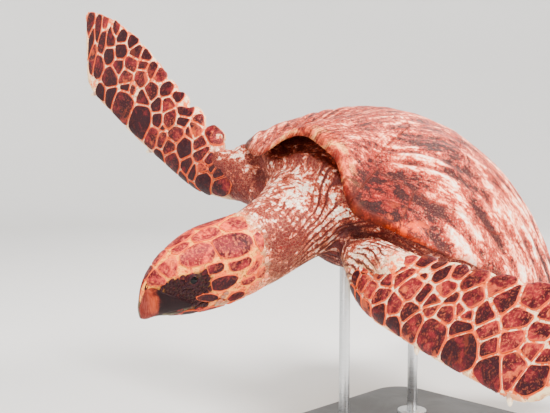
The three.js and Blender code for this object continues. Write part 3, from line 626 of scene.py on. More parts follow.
# From the tip of the beak back: place, half width, bottom, top and squareness of the head.
HEAD_STATIONS = [
    (1, 5, -19, 8, 2.2), (6, 9.5, -21, 27, 2.2), (14, 14.5, -22, 43, 2.3), (26, 20.5, -23, 56, 2.4),
    (44, 29, -28.5, 68, 2.5), (66, 38, -32, 74, 2.6), (92, 45, -35, 80, 2.7), (120, 49, -37, 82, 2.7),
    (150, 51, -38, 81, 2.5), (172, 51, -38.5, 81, 2.4), (186, 50, -38, 83, 2.3),
]
HEAD_TIP = np.array([39, -444, -264.0])
HEAD_TURN = turn_about_x(math.radians(35.6)) @ turn_about_y(math.radians(5.7))
HEAD_LENGTH = 186


def rounded_section(half_width, bottom, top, power, angle):
    """Across and up of a rounded box's outline. Angles run from the left side upwards."""
    across, up = np.cos(angle), np.sin(angle)
    size = (np.abs(across) ** power + np.abs(up) ** power) ** (-1 / power)
    return half_width * across * size, (bottom + top) / 2 + (top - bottom) / 2 * up * size


def from_head(local):
    """Points given across, back and up in the head's own frame, as points of the turtle."""
    return local @ HEAD_TURN.T + HEAD_TIP


def head_at(share, angle, grown=0.0):
    """A point of the head's surface: its share of the length from the beak, and an angle."""
    back = between(1, HEAD_LENGTH, share)
    half_width, bottom, top, power = smooth_between(back, HEAD_STATIONS)
    across, up = rounded_section(half_width + grown, bottom - grown, top + grown, power, angle)
    return from_head(np.stack(np.broadcast_arrays(across, back, up), -1))


# The neck bends down from inside the shell. Share of its length, half width, bottom and top.
NECK_STATIONS = [
    (0, 108, -24, 66), (0.22, 106, -24, 74), (0.4, 93, -25, 80), (0.56, 76, -28, 83),
    (0.72, 63, -32, 85), (0.87, 55, -36, 86), (1, 50, -38, 83),
]
NECK_ROOT = np.array([0, -120, -26.0])
NECK_ROOT_TURN = turn_about_x(math.radians(24))
NECK_END = HEAD_TIP + HEAD_TURN @ [0, HEAD_LENGTH, 0]
NECK_ROOT_PULL, NECK_END_PULL = 90, 70
NECK_BENDS = [NECK_ROOT, NECK_ROOT - NECK_ROOT_PULL * NECK_ROOT_TURN[:, 1],
              NECK_END + NECK_END_PULL * HEAD_TURN[:, 1], NECK_END]


def neck_frame(share):
    """Middle and turn of the neck's cross-sections."""
    share = np.asarray(share, float)[..., None]
    weights = [(1 - share) ** 3, 3 * share * (1 - share) ** 2, 3 * share ** 2 * (1 - share), share ** 3]
    centre = sum(weight * bend for weight, bend in zip(weights, NECK_BENDS))
    turn = between(NECK_ROOT_TURN, HEAD_TURN, share[..., None])
    back = turn[..., :, 1] / np.linalg.norm(turn[..., :, 1], axis=-1)[..., None]
    left = turn[..., :, 0] - back * np.sum(turn[..., :, 0] * back, -1)[..., None]
    left /= np.linalg.norm(left, axis=-1)[..., None]
    return centre, left, back, np.cross(left, back)


def neck_at(share, angle, grown=0.0):
    half_width, bottom, top = smooth_between(share, NECK_STATIONS)
    across, up = rounded_section(half_width + grown, bottom - grown, top + grown, 2.3, angle)
    centre, left, _, upward = neck_frame(share)
    return centre + left * across[..., None] + upward * up[..., None]


# Along each kind of flipper: share of its length, leading edge, trailing edge and thickness.
FRONT_STATIONS = [
    (0.0, -22, 40, 66), (0.08, -44, 42, 66), (0.17, -61, 41, 56), (0.28, -67, 44, 43),
    (0.42, -67, 54, 33), (0.56, -66, 64, 26), (0.68, -63, 74, 20), (0.78, -60, 79, 16),
    (0.84, -50, 78, 13), (0.91, -10, 71, 10), (0.97, 26, 62, 8), (1.0, 40, 54, 6),
]
HIND_STATIONS = [
    (0, -34, 34, 52), (0.2, -36, 34, 44), (0.4, -42, 40, 30), (0.6, -52, 48, 19),
    (0.76, -58, 53, 13), (0.88, -54, 47, 10), (0.96, -36, 30, 8), (1, -14, 12, 6),
]


class Flipper:
    """A flipper's place and shape. Its root is given as on the left side. Its edge lobes, and
    the notches that cut in, are each a place, a half length and a height."""

    def __init__(self, side, root, length, stations, ahead, rise, twist, bow=0, lobes=()):
        self.root, self.length, self.stations = np.array(root) * [side, 1, 1], length, stations
        self.bow, self.lobes = bow, lobes
        ahead, rise, twist = (math.radians(angle) for angle in (ahead, rise, twist))
        self.along = np.array([side * math.cos(ahead) * math.cos(rise),
                               -math.sin(ahead) * math.cos(rise), math.sin(rise)])
        level = np.array([0, 1.0, 0]) - self.along * self.along[1]
        level /= np.linalg.norm(level)
        upright = np.cross(self.along, level) * side
        self.trailing = level * math.cos(twist) + upright * math.sin(twist)
        self.face = upright * math.cos(twist) - level * math.sin(twist)

    def lobed(self, share):
        """How far the trailing edge stands out of its plain curve."""
        out = np.zeros_like(np.asarray(share, float))
        for middle, half_length, height in self.lobes:
            part = np.clip(1 - np.abs(share - middle) / half_length, 0, 1)
            out = out + height * (part if height < 0 else np.sqrt(part * (2 - part)))
        return out

    def at(self, share, angle, grown=0.0):
        """A point of its surface. Angle 0 is its trailing edge."""
        leading, rear, thickness = smooth_between(share, self.stations)
        rear = rear + self.lobed(share)
        chord = (leading + rear) / 2 + ((rear - leading) / 2 + grown) * np.cos(angle)
        chord = chord - self.bow * np.sin(math.pi * np.asarray(share))
        out = (thickness / 2 + grown) * np.sin(angle) * (1 - 0.25 * np.cos(angle))
        away = np.asarray(share * self.length)[..., None] * self.along
        return self.root + away + chord[..., None] * self.trailing + out[..., None] * self.face

    def places(self, points):
        """Share along it, share across it from the leading edge, and millimetres outward."""
        off = points - self.root
        share = off @ self.along / self.length
        leading, rear, thickness = smooth_between(np.clip(share, 0, 1), self.stations)
        chord = off @ self.trailing + self.bow * np.sin(math.pi * np.clip(share, 0, 1))
        return share, (chord - leading) / (rear - leading), off @ self.face, thickness


FRONT_ROOT, FRONT_LENGTH = (127, -185, -75), 543
HIND_ROOT, HIND_LENGTH = (112, 262, -40), 262
# Each has a side, root, length and stations, then the degrees that it points ahead, rises and
# is twisted. The front ones end with their bow and the lobes of their trailing edge.
FLIPPERS = {
    "front_flipper_left": Flipper(1, FRONT_ROOT, FRONT_LENGTH, FRONT_STATIONS, 17, 5, 76, 0, [
        (.29, .03, 4), (.395, .04, 5), (.45, .015, -3), (.49, .035, 3), (.575, .035, 4), (.635, .015, -3),
        (.69, .035, 4)]),
    "front_flipper_right": Flipper(-1, FRONT_ROOT, FRONT_LENGTH, FRONT_STATIONS, 14, 9, 94, 5, [
        (.06, .085, 27), (.185, .038, -24), (.242, .03, 4), (.298, .024, -14), (.345, .026, 3),
        (.392, .02, -11), (.425, .024, 2), (.465, .018, -6), (.50, .02, 2), (.53, .015, -4), (.56, .022, 2),
        (.61, .03, 3), (.67, .026, 2), (.73, .02, 2)]),
    "hind_flipper_left": Flipper(1, HIND_ROOT, HIND_LENGTH, HIND_STATIONS, -52, -6, 12),
    "hind_flipper_right": Flipper(-1, HIND_ROOT, HIND_LENGTH, HIND_STATIONS, -58, -2, 8),
}


# From the root of the tail back: place, half width, bottom and top.
TAIL_STATIONS = [
    (300, 40, -30, 20), (345, 30, -24, 16), (390, 18, -17, 12), (425, 9, -11, 7), (446, 3, -6, 0),
]
TAIL_DROP = 44


def tail_at(share, angle, grown=0.0):
    back = between(TAIL_STATIONS[0][0], TAIL_STATIONS[-1][0], share)
    half_width, bottom, top = smooth_between(back, TAIL_STATIONS)
    across, up = rounded_section(half_width + grown, bottom - grown, top + grown, 2, angle)
    return np.stack(np.broadcast_arrays(across, back, up - TAIL_DROP), -1)


class Hide:
    """Closed bodies that are gathered here and then fused into one skin."""

    def __init__(self):
        self.points, self.faces, self.count = [], [], 0

    def add_rings(self, rings):
        steps = len(rings[0])
        poles = [rings[0].mean(0), rings[-1].mean(0)]
        points = np.vstack(list(rings) + poles)
        faces = closed_faces(len(rings), steps)
        volume = 0.0
        middle = points.mean(0)
        for face in faces:
            one, two, three = (points[corner] - middle for corner in face[:3])
            volume += float(np.dot(one, np.cross(two, three)))
        if volume < 0:
            faces = [face[::-1] for face in faces]
        self.faces += [tuple(corner + self.count for corner in face) for face in faces]
        self.points.append(points)
        self.count += len(points)

    def add_limb(self, surface, start, end, rows, steps, grown):
        self.add_rings([surface(np.full(steps, share), round_turns(steps), grown)
                        for share in np.linspace(start, end, rows)])

    def add_ball(self, middle, ways, sizes, rows=24, steps=36):
        """A ball stretched along three directions."""
        rings, turn = [], round_turns(steps)
        for lift in np.linspace(-math.pi / 2 + 0.05, math.pi / 2 - 0.05, rows):
            unit = np.column_stack([np.cos(lift) * np.cos(turn), np.cos(lift) * np.sin(turn),
                                    np.full(steps, np.sin(lift))])
            rings.append(middle + (unit * sizes) @ np.array(ways))
        self.add_rings(rings)


hide = Hide()
hide.add_limb(head_at, 0, 1, 120, 96, -SKIN_DEPTH)
hide.add_limb(neck_at, 0, 1.05, 60, 96, 0.0)
for name, flipper in FLIPPERS.items():
    hide.add_limb(flipper.at, 0, 1, 150 if "front" in name else 80, 72, -SKIN_DEPTH)
hide.add_limb(tail_at, 0, 1, 30, 40, -0.3)


def under_shell(angle, reach, clearance):
    thickness = np.where(reach < MARGINAL_INNER - 0.01, SCUTE_THICKNESS, between(
        MARGINAL_THICKNESS, 4.5, np.clip((reach - MARGINAL_INNER) / (1 - MARGINAL_INNER), 0, 1)))
    return shell_top(angle, reach) - thickness - clearance


# The trunk's rings run from inside the dome out under the marginals and in along the belly.
# Under the dome each has a clearance, and a share of the hollow that leaves the neck room.
UNDER_DOME = [(0.3, 7, 0), (0.45, 7, 0), (0.6, 7, 0.6), (0.75, 7, 1), (MARGINAL_INNER, 6, 1), (0.9, 4, 1)]
BELLY_LEVEL = -76
TO_BELLY = [(0.89, -26), (0.87, -38), (0.84, -50), (0.79, -62), (0.73, -71), (0.66, BELLY_LEVEL),
            (0.45, BELLY_LEVEL), (0.2, BELLY_LEVEL)]
HOLLOW_DEPTH, HOLLOW_SPREAD, HOLLOW_POWER = 38, 0.62, 4
angles = round_turns(180)
over_neck = HOLLOW_DEPTH * np.exp(-(turn_from(ARCH_TO_LEFT, angles) / HOLLOW_SPREAD) ** HOLLOW_POWER)
levels = [(reach, under_shell(angles, reach, clearance) - share * over_neck)
          for reach, clearance, share in UNDER_DOME]
levels.append((0.91, shell_top(angles, 1) * 0.6 - 12))
levels += [(reach, np.full(len(angles), level)) for reach, level in TO_BELLY]
hide.add_rings([np.column_stack([plan_point(angles, reach), level]) for reach, level in levels])

# The loose skin over each shoulder stands up in a soft dome.
SHOULDERS = {"front_flipper_left": (74, 6, 4), "front_flipper_right": (40, 2, 2)}
SHOULDER_SIZES = (74, 34, 34)
for name, (out_along, out_trailing, out_face) in SHOULDERS.items():
    flipper = FLIPPERS[name]
    middle = flipper.root + flipper.along * out_along + flipper.trailing * out_trailing
    ways = (flipper.along, flipper.trailing, flipper.face)
    hide.add_ball(middle + flipper.face * out_face, ways, SHOULDER_SIZES)

# The breast skin hangs a little in front of the plastron on each side.
BREAST_PLACE, BREAST_SIZES = (74, -186, -66), (76, 34, 41)
for side in (1, -1):
    hide.add_ball(np.array(BREAST_PLACE) * [side, 1, 1], np.eye(3), BREAST_SIZES)
SKIN_VOXEL = 0.0017
SKIN_TRIANGLES = 190000


def evaluated_mesh(piece):
    """The mesh of a piece with its modifiers done."""
    bpy.context.view_layer.update()
    graph = bpy.context.evaluated_depsgraph_get()
    return bpy.data.meshes.new_from_object(piece.evaluated_get(graph), depsgraph=graph)


def fused(body, voxel):
    """Points in millimetres and faces of the one skin round all the gathered bodies."""
    mesh = bpy.data.meshes.new("gathered hide")
    mesh.from_pydata((np.vstack(body.points) * 0.001).tolist(), [], body.faces)
    gathered = bpy.data.objects.new("gathered hide", mesh)
    bpy.context.scene.collection.objects.link(gathered)
    remesh = gathered.modifiers.new("fuse", "REMESH")
    remesh.mode = "VOXEL"
    remesh.voxel_size = voxel
    skin_mesh = evaluated_mesh(gathered)
    points = np.zeros(len(skin_mesh.vertices) * 3)
    skin_mesh.vertices.foreach_get("co", points)
    quads = np.zeros(len(skin_mesh.loops), np.int32)
    skin_mesh.loops.foreach_get("vertex_index", quads)
    bpy.data.objects.remove(gathered)
    return points.reshape(-1, 3) * 1000, quads.reshape(-1, 4)


def neighbour_means(points, links):
    """The mean of the neighbours of each point."""
    count = len(points)
    degree = np.bincount(links.ravel(), minlength=count)
    sums = [np.bincount(links[:, 0], points[links[:, 1], axis], count)
            + np.bincount(links[:, 1], points[links[:, 0], axis], count) for axis in range(3)]
    return np.stack(sums, -1) / np.maximum(degree, 1)[:, None]


def outward_ways(points, quads):
    """A unit normal for each point of a mesh of quads."""
    one, two, three, four = (points[quads[:, corner]] for corner in range(4))
    across = np.cross(three - one, four - two)
    ways = np.zeros_like(points)
    for corner in range(4):
        for axis in range(3):
            ways[:, axis] += np.bincount(quads[:, corner], across[:, axis], len(points))
    return ways / np.maximum(np.linalg.norm(ways, axis=1), 1e-9)[:, None]


def head_places(points):
    """Across, back and up in the head's own frame, and the angle round it."""
    local = (points - HEAD_TIP) @ HEAD_TURN
    half_width, bottom, top, _ = smooth_between(local[:, 1], HEAD_STATIONS)
    up = (local[:, 2] - (bottom + top) / 2) / (top - bottom)
    return local, np.arctan2(up, local[:, 0] / half_width / 2)


def neck_places(points):
    """Share along the neck and angle round it, for points near its surface."""
    shares = np.linspace(0, 1, 61)
    centre, left, back, upward = neck_frame(shares)
    behind = points @ back.T - np.sum(centre * back, 1)
    row = np.clip(np.sum(behind < 0, axis=1) - 1, 0, len(shares) - 2)
    here = np.take_along_axis(behind, row[:, None], 1)[:, 0]
    there = np.take_along_axis(behind, row[:, None] + 1, 1)[:, 0]
    share = shares[row] + np.clip(here / np.where(here == there, 1, here - there), 0, 1) / 60
    half_width, bottom, top = smooth_between(share, NECK_STATIONS)
    centre, left, _, upward = neck_frame(share)
    off = points - centre
    across = np.sum(off * left, 1) / half_width
    up = (np.sum(off * upward, 1) - (bottom + top) / 2) * 2 / (top - bottom)
    return share, np.arctan2(up, across), np.hypot(across, up)


# The mouth's line along the side of the head: millimetres back from the beak's tip, and up.
MOUTH_LINE = [(9, -21), (20, -15.5), (34, -10.5), (60, -4.5), (98, -2), (112, -7), (124, -18)]
MOUTH_END, MOUTH_DEPTH, MOUTH_HALF_WIDTH = 124, 2.4, 1.9


def off_mouth(local):
    """Millimetres above or below the line of the mouth, and 1 where there is a mouth."""
    line = smooth_between(local[:, 1], MOUTH_LINE)[0]
    there = ease(4, 10, local[:, 1]) * ease(126, 112, local[:, 1]) * (np.abs(local[:, 0]) < 60)
    return local[:, 2] - line, there


def creases(phase, sharpness):
    """0 on rounded ridges and 1 in the narrow creases between them."""
    return (1 - np.abs(np.sin(math.pi * phase))) ** sharpness


def off_shoulder(name, points):
    """Millimetres along a front flipper from its shoulder's dome, towards its trailing edge,
    and the distance from the dome's middle, where 1 is the dome's surface."""
    flipper = FLIPPERS[name]
    ways = np.column_stack([flipper.along, flipper.trailing, flipper.face])
    off = (points - flipper.root) @ ways - SHOULDERS[name]
    return off[:, 0], off[:, 1], np.linalg.norm(off / SHOULDER_SIZES, axis=1)


# The neck's folds run down and back from its top. Each front limb's lie in long rings round a
# place beside its shoulder, and each hind limb's across it. Pitches and depths are millimetres.
NECK_FOLDS, NECK_FOLD_SLANT, NECK_FOLD_DEPTH = 5.6, 1.7, 2.3
FRONT_FOLD_PITCH, HIND_FOLD_PITCH, LIMB_FOLD_DEPTH = 9.0, 11.5, 2.0
RINGS_LONGER, RINGS_BESIDE = 1.9, 66
RIGHT_LIMB_LOOSENESS = 0.35


def loose_folds(points):
    """For the neck and for the limbs: the number of the fold, the run along it, and how loose
    the skin is there."""
    share, angle, out = neck_places(points)
    local, _ = head_places(points)
    warp = soft_waves(points, 70, 5, 3)
    off_top = np.abs(turn_from(math.pi / 2, angle))
    on_neck = ease(1.9, 1.25, out) * ease(1.02, 0.9, share) * ease(168, 200, local[:, 1])
    patchy = ease(-0.9, 0.3, soft_waves(points, 90, 8, 3))
    neck = np.column_stack([
        (off_top - NECK_FOLD_SLANT * share) * NECK_FOLDS + warp * 0.3, share * 7 + off_top,
        on_neck * ease(1.0, 0.62, share) * between(0.45, 1.0, patchy)])
    limbs = np.zeros_like(neck)
    for name, flipper in FLIPPERS.items():
        along, chord, lift, thickness = flipper.places(points)
        off_blade = ease(-0.26, -0.1, along) * (np.abs(lift) < 95) * (1 - on_neck)
        if "front" in name:
            off_along, off_trailing, off_dome = off_shoulder(name, points)
            long_way, short_way = off_along / RINGS_LONGER, off_trailing + RINGS_BESIDE
            rings = np.hypot(long_way, short_way) / FRONT_FOLD_PITCH
            blade = ease(1.1, 1.0, chord) * ease(14, 6, np.abs(lift) - thickness / 2)
            behind = ease(1.0, 1.15, off_dome) * ease(0.42, 0.32, along) * (1 - blade)
            loose = ease(2.6, 2.0, off_dome) * np.maximum(ease(0.23, 0.18, along), behind) * off_blade
            run = np.arctan2(long_way, short_way) * 4
        else:
            rings = along * flipper.length / HIND_FOLD_PITCH + chord * 0.6
            loose = ease(0.235, 0.18, along) * ease(-1.0, -0.45, chord) * ease(2.0, 1.45, chord)
            loose, run = loose * off_blade, chord * 3
        loose = loose * (RIGHT_LIMB_LOOSENESS if name == "front_flipper_right" else 1.0)
        nearer = loose > limbs[:, 2]
        limbs[nearer] = np.column_stack([rings + warp * 0.4, run, loose])[nearer]
    return neck, limbs


def fold_depths(points):
    """Depth in millimetres of the loose skin's creases."""
    neck, limbs = loose_folds(points)
    depth = NECK_FOLD_DEPTH * creases(neck[:, 0], 2.4) * neck[:, 2]
    return np.maximum(depth, LIMB_FOLD_DEPTH * creases(limbs[:, 0], 2.0) * limbs[:, 2])


points, quads = fused(hide, SKIN_VOXEL)
edges = np.vstack([quads[:, [corner, (corner + 1) % 4]] for corner in range(4)])
links = np.unique(np.sort(edges, axis=1), axis=0)

# The hide is soft where the neck and limbs leave the trunk, and keeps its form elsewhere.
softness = np.full(len(points), 0.25)
neck_share, _, neck_out = neck_places(points)
loose = ease(0.75, 0.35, neck_share) * ease(2.4, 1.6, neck_out)
for flipper in FLIPPERS.values():
    along, _, lift, _ = flipper.places(points)
    loose = np.maximum(loose, ease(0.2, 0.1, along) * ease(-0.3, -0.12, along) * (np.abs(lift) < 110))
softness = np.maximum(softness, loose * 0.9)
rounds = 30
for turn in range(rounds):
    pull = softness if turn % 10 < 2 else np.where(softness > 0.3, softness, 0)
    points += (neighbour_means(points, links) - points) * pull[:, None]

ways = outward_ways(points, quads)
if np.sum(ways * (points - points.mean(0))) < 0:
    ways = -ways
above_mouth, at_mouth = off_mouth(head_places(points)[0])
depth = fold_depths(points) + MOUTH_DEPTH * at_mouth * np.exp(-(above_mouth / MOUTH_HALF_WIDTH) ** 2)
points = points - ways * depth[:, None]

# Creases of loose skin: lines along the folds, used for relief and painted shade, their ridges, used for a
# painted highlight, and a fine grain that runs beside them.
fold_lines = Effect(
    "fold lines", [("Folds", "NodeSocketVector", None), ("Sharpness", "NodeSocketFloat", 2.2)],
    ["Creases", "Ridges", "Grain"])
folds = fold_lines.given["Folds"]
parts = fold_lines.node("ShaderNodeSeparateXYZ", {"Vector": folds})
wander = fold_lines.noise(fold_lines.scaled(folds, (0.8, 1.1, 0.0)), 1.0, 4.0, 0.55)["Fac"]
fold_grain = fold_lines.noise(fold_lines.scaled(folds, (6.5, 3.0, 0.0)), 1.0, 5.0, 0.65)["Fac"]
run = fold_lines.times(wander, 1.1, parts["X"])
lines = []
for pitch, heavy, sharp in ((1.0, 1.0, 1.0), (2.0, 0.4, 1.2)):
    phase = fold_lines.times(run, math.pi * pitch)
    ridge = fold_lines.sums("ABSOLUTE", fold_lines.sums("SINE", phase))
    sharpness = fold_lines.times(fold_lines.given["Sharpness"], sharp)
    line = fold_lines.sums("POWER", fold_lines.sums("SUBTRACT", 1.0, ridge), sharpness)
    lines.append(fold_lines.times(fold_lines.times(line, heavy), parts["Z"]))
    if pitch == 1.0:
        ridge_highlight = fold_lines.times(fold_lines.sums("POWER", ridge, 3.0), parts["Z"])
        fold_lines.put_out("Ridges", ridge_highlight)
fold_lines.put_out("Creases", fold_lines.sums("MAXIMUM", *lines))
fold_lines.put_out("Grain", fold_grain)

# Loose skin is pink and cream on its folds, blotched with red-brown, with a painted highlight on the
# ridges and painted shade in the creases. Small soft scales pebble it all over.
PEBBLES_A_METRE = 215.0
soft_hide = Finish("loose hide", Specular_IOR_Level=0.25)
hide_mottle = soft_hide.mottle(58.0, 250.0, 1.2)
broad_mottle = soft_hide.mottle(13.0, 95.0, 1.2)
wobble = soft_hide.node("ShaderNodeTexNoise", {"Vector": soft_hide.place, "Scale": 130.0, "Detail": 2.0})
pushed = soft_hide.node("ShaderNodeVectorMath", {0: wobble["Color"], 1: (0.006, 0.006, 0.006)},
                         operation="MULTIPLY")[0]
pushed = soft_hide.node("ShaderNodeVectorMath", {0: soft_hide.place, 1: pushed}, operation="ADD")[0]
pebbles = {"Vector": pushed, "Scale": PEBBLES_A_METRE}
pebble_gaps = soft_hide.node("ShaderNodeTexVoronoi", pebbles, feature="DISTANCE_TO_EDGE")
pebble_kinds = soft_hide.node("ShaderNodeTexVoronoi", pebbles)
pebble_kind = soft_hide.node("ShaderNodeSeparateColor", {"Color": pebble_kinds["Color"]})
on_pebble = soft_hide.stretch(pebble_gaps["Distance"], 0.0, 0.16)
off_pebble = soft_hide.sums("SUBTRACT", 1.0, on_pebble)
neck_folds, limb_folds = (
    soft_hide.effect(fold_lines, Folds=soft_hide.measure(name, "Vector"), Sharpness=1.3)
    for name in ("neck_folds", "limb_folds"))
crease_relief_and_shade = soft_hide.sums("MAXIMUM", neck_folds["Creases"], limb_folds["Creases"])
fold_grain = soft_hide.sums("ADD", neck_folds["Grain"], limb_folds["Grain"])
ridge_highlight = soft_hide.sums("MAXIMUM", neck_folds["Ridges"], limb_folds["Ridges"])
# The tone is lifted on fold ridges as a painted highlight and lowered in creases and shaded places as
# painted shade.
tone = fold_grain
for part, weight in ((hide_mottle["Patches"], 0.55), (broad_mottle["Patches"], 0.35),
                     (hide_mottle["Flecks"], 0.25), (ridge_highlight, -0.3), (crease_relief_and_shade, 0.35),
                     (soft_hide.measure("shaded"), 0.26),
                     (soft_hide.sums("SUBTRACT", pebble_kind[0], 0.5), 0.55)):
    tone = soft_hide.times(part, weight, tone)
colour = soft_hide.blend(soft_hide.stretch(tone, 1.27, 1.44), "#fff0d8", "#f07850")
colour = soft_hide.blend(soft_hide.stretch(tone, 1.44, 1.66), colour, "#76160c")
pale_gaps = soft_hide.times(soft_hide.stretch(tone, 1.5, 1.8), off_pebble)
colour = soft_hide.blend(soft_hide.times(pale_gaps, 0.3), colour, "#f2a880")
dark_gaps = soft_hide.times(soft_hide.stretch(tone, 1.48, 1.2, 0.0, 0.5), off_pebble)
colour = soft_hide.blend(dark_gaps, colour, "#a8402c")
cream = soft_hide.blend(hide_mottle["Patches"], "#ffd9a0", "#e29a5e")
colour = soft_hide.blend(soft_hide.measure("under"), colour, cream)
seam_colour = soft_hide.blend(soft_hide.measure("warm"), "#ffe0b4", "#ffa23c")
seam_colour = soft_hide.blend(soft_hide.stretch(broad_mottle["Flecks"], 0.3, 0.75), seam_colour, "#f0641c")
colour = soft_hide.blend(soft_hide.measure("between_plates"), colour, seam_colour)
specks = soft_hide.times(soft_hide.stretch(hide_mottle["Flecks"], 0.64, 0.88),
                          soft_hide.stretch(broad_mottle["Patches"], 0.25, 0.7, 0.15, 0.75))
colour = soft_hide.blend(specks, colour, "#4f0a0c")
# Painted shade: the creases are darkened to near black.
colour = soft_hide.blend(soft_hide.stretch(crease_relief_and_shade, 0.2, 0.75, 0.0, 0.95), colour, "#440a06")
shade_colour = soft_hide.blend(soft_hide.stretch(tone, 1.28, 1.62), "#c85a38", "#520e08")
shade_share = soft_hide.measure("shaded")
for part, low, high, at_low, at_high in (
        (ridge_highlight, 0.2, 0.9, 1.0, 0.6), (broad_mottle["Flecks"], 0.4, 0.85, 1.0, 0.6),
        (pebble_kind[1], 0.6, 1.0, 1.0, 0.4), (on_pebble, 0.0, 1.0, 0.8, 1.0)):
    shade_share = soft_hide.times(shade_share, soft_hide.stretch(part, low, high, at_low, at_high))
colour = soft_hide.blend(shade_share, colour, shade_colour)
# Dark face marks, and painted shade in the pocket beside the breast.
colour = soft_hide.blend(soft_hide.measure("dark_face_and_shade"), colour, "#10030a")
height = soft_hide.times(fold_grain, 1.4, soft_hide.times(hide_mottle["Flecks"], 0.35, on_pebble))
soft_hide.join(colour, soft_hide.stretch(hide_mottle["Flecks"], 0.0, 1.0, 0.42, 0.6),
                soft_hide.times(crease_relief_and_shade, -3.2, height), 0.75, 0.0009)


def side_angle(degrees):
    """Degrees up from the side of the head, on either side of it."""
    turned = (degrees + 180) % 360 - 180
    return np.where(np.abs(turned) > 90, np.sign(turned) * 180 - turned, turned)


def hide_measures(points, ways):
    """What the loose hide's colours need to know at each point."""
    local, head_angle = head_places(points)
    on_head = ease(HEAD_LENGTH + 12, HEAD_LENGTH - 22, local[:, 1]) * (np.abs(local[:, 0]) < 70)
    on_head = on_head * (np.abs(local[:, 2]) < 110) * ease(-20, -2, local[:, 1])
    between_plates = on_head * ease(-1.2, -0.2, head_angle)
    between_plates = np.maximum(between_plates, on_head * (np.abs(head_angle) < math.pi / 2) * 0.6)
    under = ease(0.1, -0.75, ways[:, 2]) * ease(-30, -68, points[:, 2])
    for flipper in FLIPPERS.values():
        along, chord, lift, _ = flipper.places(points)
        inside = (chord > -0.5) * (chord < 1.5) * (np.abs(lift) < 60)
        on_blade = ease(0.18, 0.25, along) * ease(1.15, 1.02, along) * inside
        between_plates = np.maximum(between_plates, on_blade * ease(-6, 2, lift))
        under = np.where(on_blade > 0.3, ease(1, -3, lift), under)

    # The mouth's line, the face round the eye and the chin are smoky dark.
    above_mouth, at_mouth = off_mouth(local)
    dark_face_and_shade = at_mouth * on_head * np.exp(-(above_mouth / 1.7) ** 2)
    face_angle = side_angle(np.degrees(head_angle))
    dark_face = ease(16, 26, local[:, 1]) * ease(98, 86, local[:, 1])
    dark_face = dark_face * ease(-34, -24, face_angle) * ease(38, 30, face_angle)
    chin = ease(18, 28, local[:, 1]) * ease(94, 80, local[:, 1])
    chin = chin * ease(-15, -9, above_mouth) * (above_mouth < 1)
    dark_face_and_shade = np.maximum(dark_face_and_shade, np.maximum(0.97 * dark_face, 0.9 * chin) * on_head)

    # The hide is shaded under the shell, in the pocket beside the breast and along the cheeks.
    share, neck_angle, off_neck = neck_places(points)
    on_neck = ease(1.35, 1.15, off_neck) * ease(0.12, 0.3, share)
    elsewhere = (1 - on_neck) * (1 - on_head)
    reach = over_shell(points[:, :2])[1]
    shaded = ease(1.12, 0.94, reach) * ease(-128, -100, points[:, 2]) * elsewhere
    on_left = np.column_stack([np.abs(points[:, 0]), points[:, 1:]])
    off_breast = np.linalg.norm((on_left - BREAST_PLACE) / BREAST_SIZES, axis=1)
    pocket = ease(1.35, 1.1, off_breast) * ease(0.2, -0.2, ways[:, 1])
    under = under * (1 - 0.65 * on_neck)
    shaded = np.maximum(shaded, 1.4 * pocket)
    # Painted shade: the pocket beside the breast is darkened further on the near side.
    dark_face_and_shade = np.maximum(dark_face_and_shade, 0.5 * pocket * ease(-30, 10, points[:, 0]))
    for name, least in (("front_flipper_left", 0.0), ("front_flipper_right", 0.2)):
        off_dome = off_shoulder(name, points)[2]
        along, chord, lift, _ = FLIPPERS[name].places(points)
        blade = ease(0.06, 0.12, along) * ease(1.12, 1.0, chord) * (np.abs(lift) < 50)
        shaded = shaded * (1 - np.maximum(ease(1.22, 1.05, off_dome), blade) * (1 - least))
    right_root = ease(3.6, 2.6, off_dome) * ease(0.8, 0.4, chord) * ease(-0.2, -0.08, along) * elsewhere
    right_side = ease(1.14, 1.02, off_dome) * ease(-40, -60, points[:, 2])
    shaded = np.maximum(shaded, np.maximum(0.6 * right_root, 1.25 * right_side))
    under = under * (1 - right_side) * (1 - 0.6 * on_head) * (1 - pocket)
    off_top = np.abs(turn_from(math.pi / 2, neck_angle))
    cheek = ease(0.5, 0.8, share) * ease(0.45, 0.9, off_top) * ease(2.7, 2.0, off_top)
    low_neck = 0.75 * ease(0.95, 1.35, off_top) * ease(2.8, 2.3, off_top) * ease(0.1, 0.3, share)
    cheek = np.maximum(cheek, low_neck) * ease(1.4, 1.2, off_neck) * (1 - on_head)
    neck, limbs = loose_folds(points)
    return {"between_plates": between_plates, "under": under, "dark_face_and_shade": dark_face_and_shade, "neck_folds": neck,
            "limb_folds": limbs, "shaded": 0.9 * np.maximum(shaded, cheek), "warm": on_head}


def thinned(points, quads, wanted):
    """The same surface with no more than the wanted number of triangles."""
    mesh = bpy.data.meshes.new("full hide")
    mesh.from_pydata(points.tolist(), [], quads.tolist())
    full = bpy.data.objects.new("full hide", mesh)
    bpy.context.scene.collection.objects.link(full)
    thin = full.modifiers.new("thin", "DECIMATE")
    thin.ratio = min(1.0, wanted / (2 * len(quads)))
    thin.use_collapse_triangulate = True
    result = evaluated_mesh(full)
    places = np.zeros(len(result.vertices) * 3)
    result.vertices.foreach_get("co", places)
    ways = np.zeros(len(result.vertices) * 3, np.float32)
    result.vertex_normals.foreach_get("vector", ways)
    faces = [tuple(polygon.vertices) for polygon in result.polygons]
    bpy.data.objects.remove(full)
    return places.reshape(-1, 3), faces, ways.reshape(-1, 3).astype(float)


places, faces, ways = thinned(points, quads, SKIN_TRIANGLES)
skin = new_piece("skin", places, faces, soft_hide, hide_measures(places, ways))
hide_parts("trunk", "neck", "head", "tail", *FLIPPERS)
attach(skin, "root")

# ---------------------------------------------------------------------------------------------
# Plates on the flippers. Each flipper is a stiff blade under flat horny scales, large along the
# leading edge and small inside. They are dark, with paler soft skin showing in between.
# ---------------------------------------------------------------------------------------------


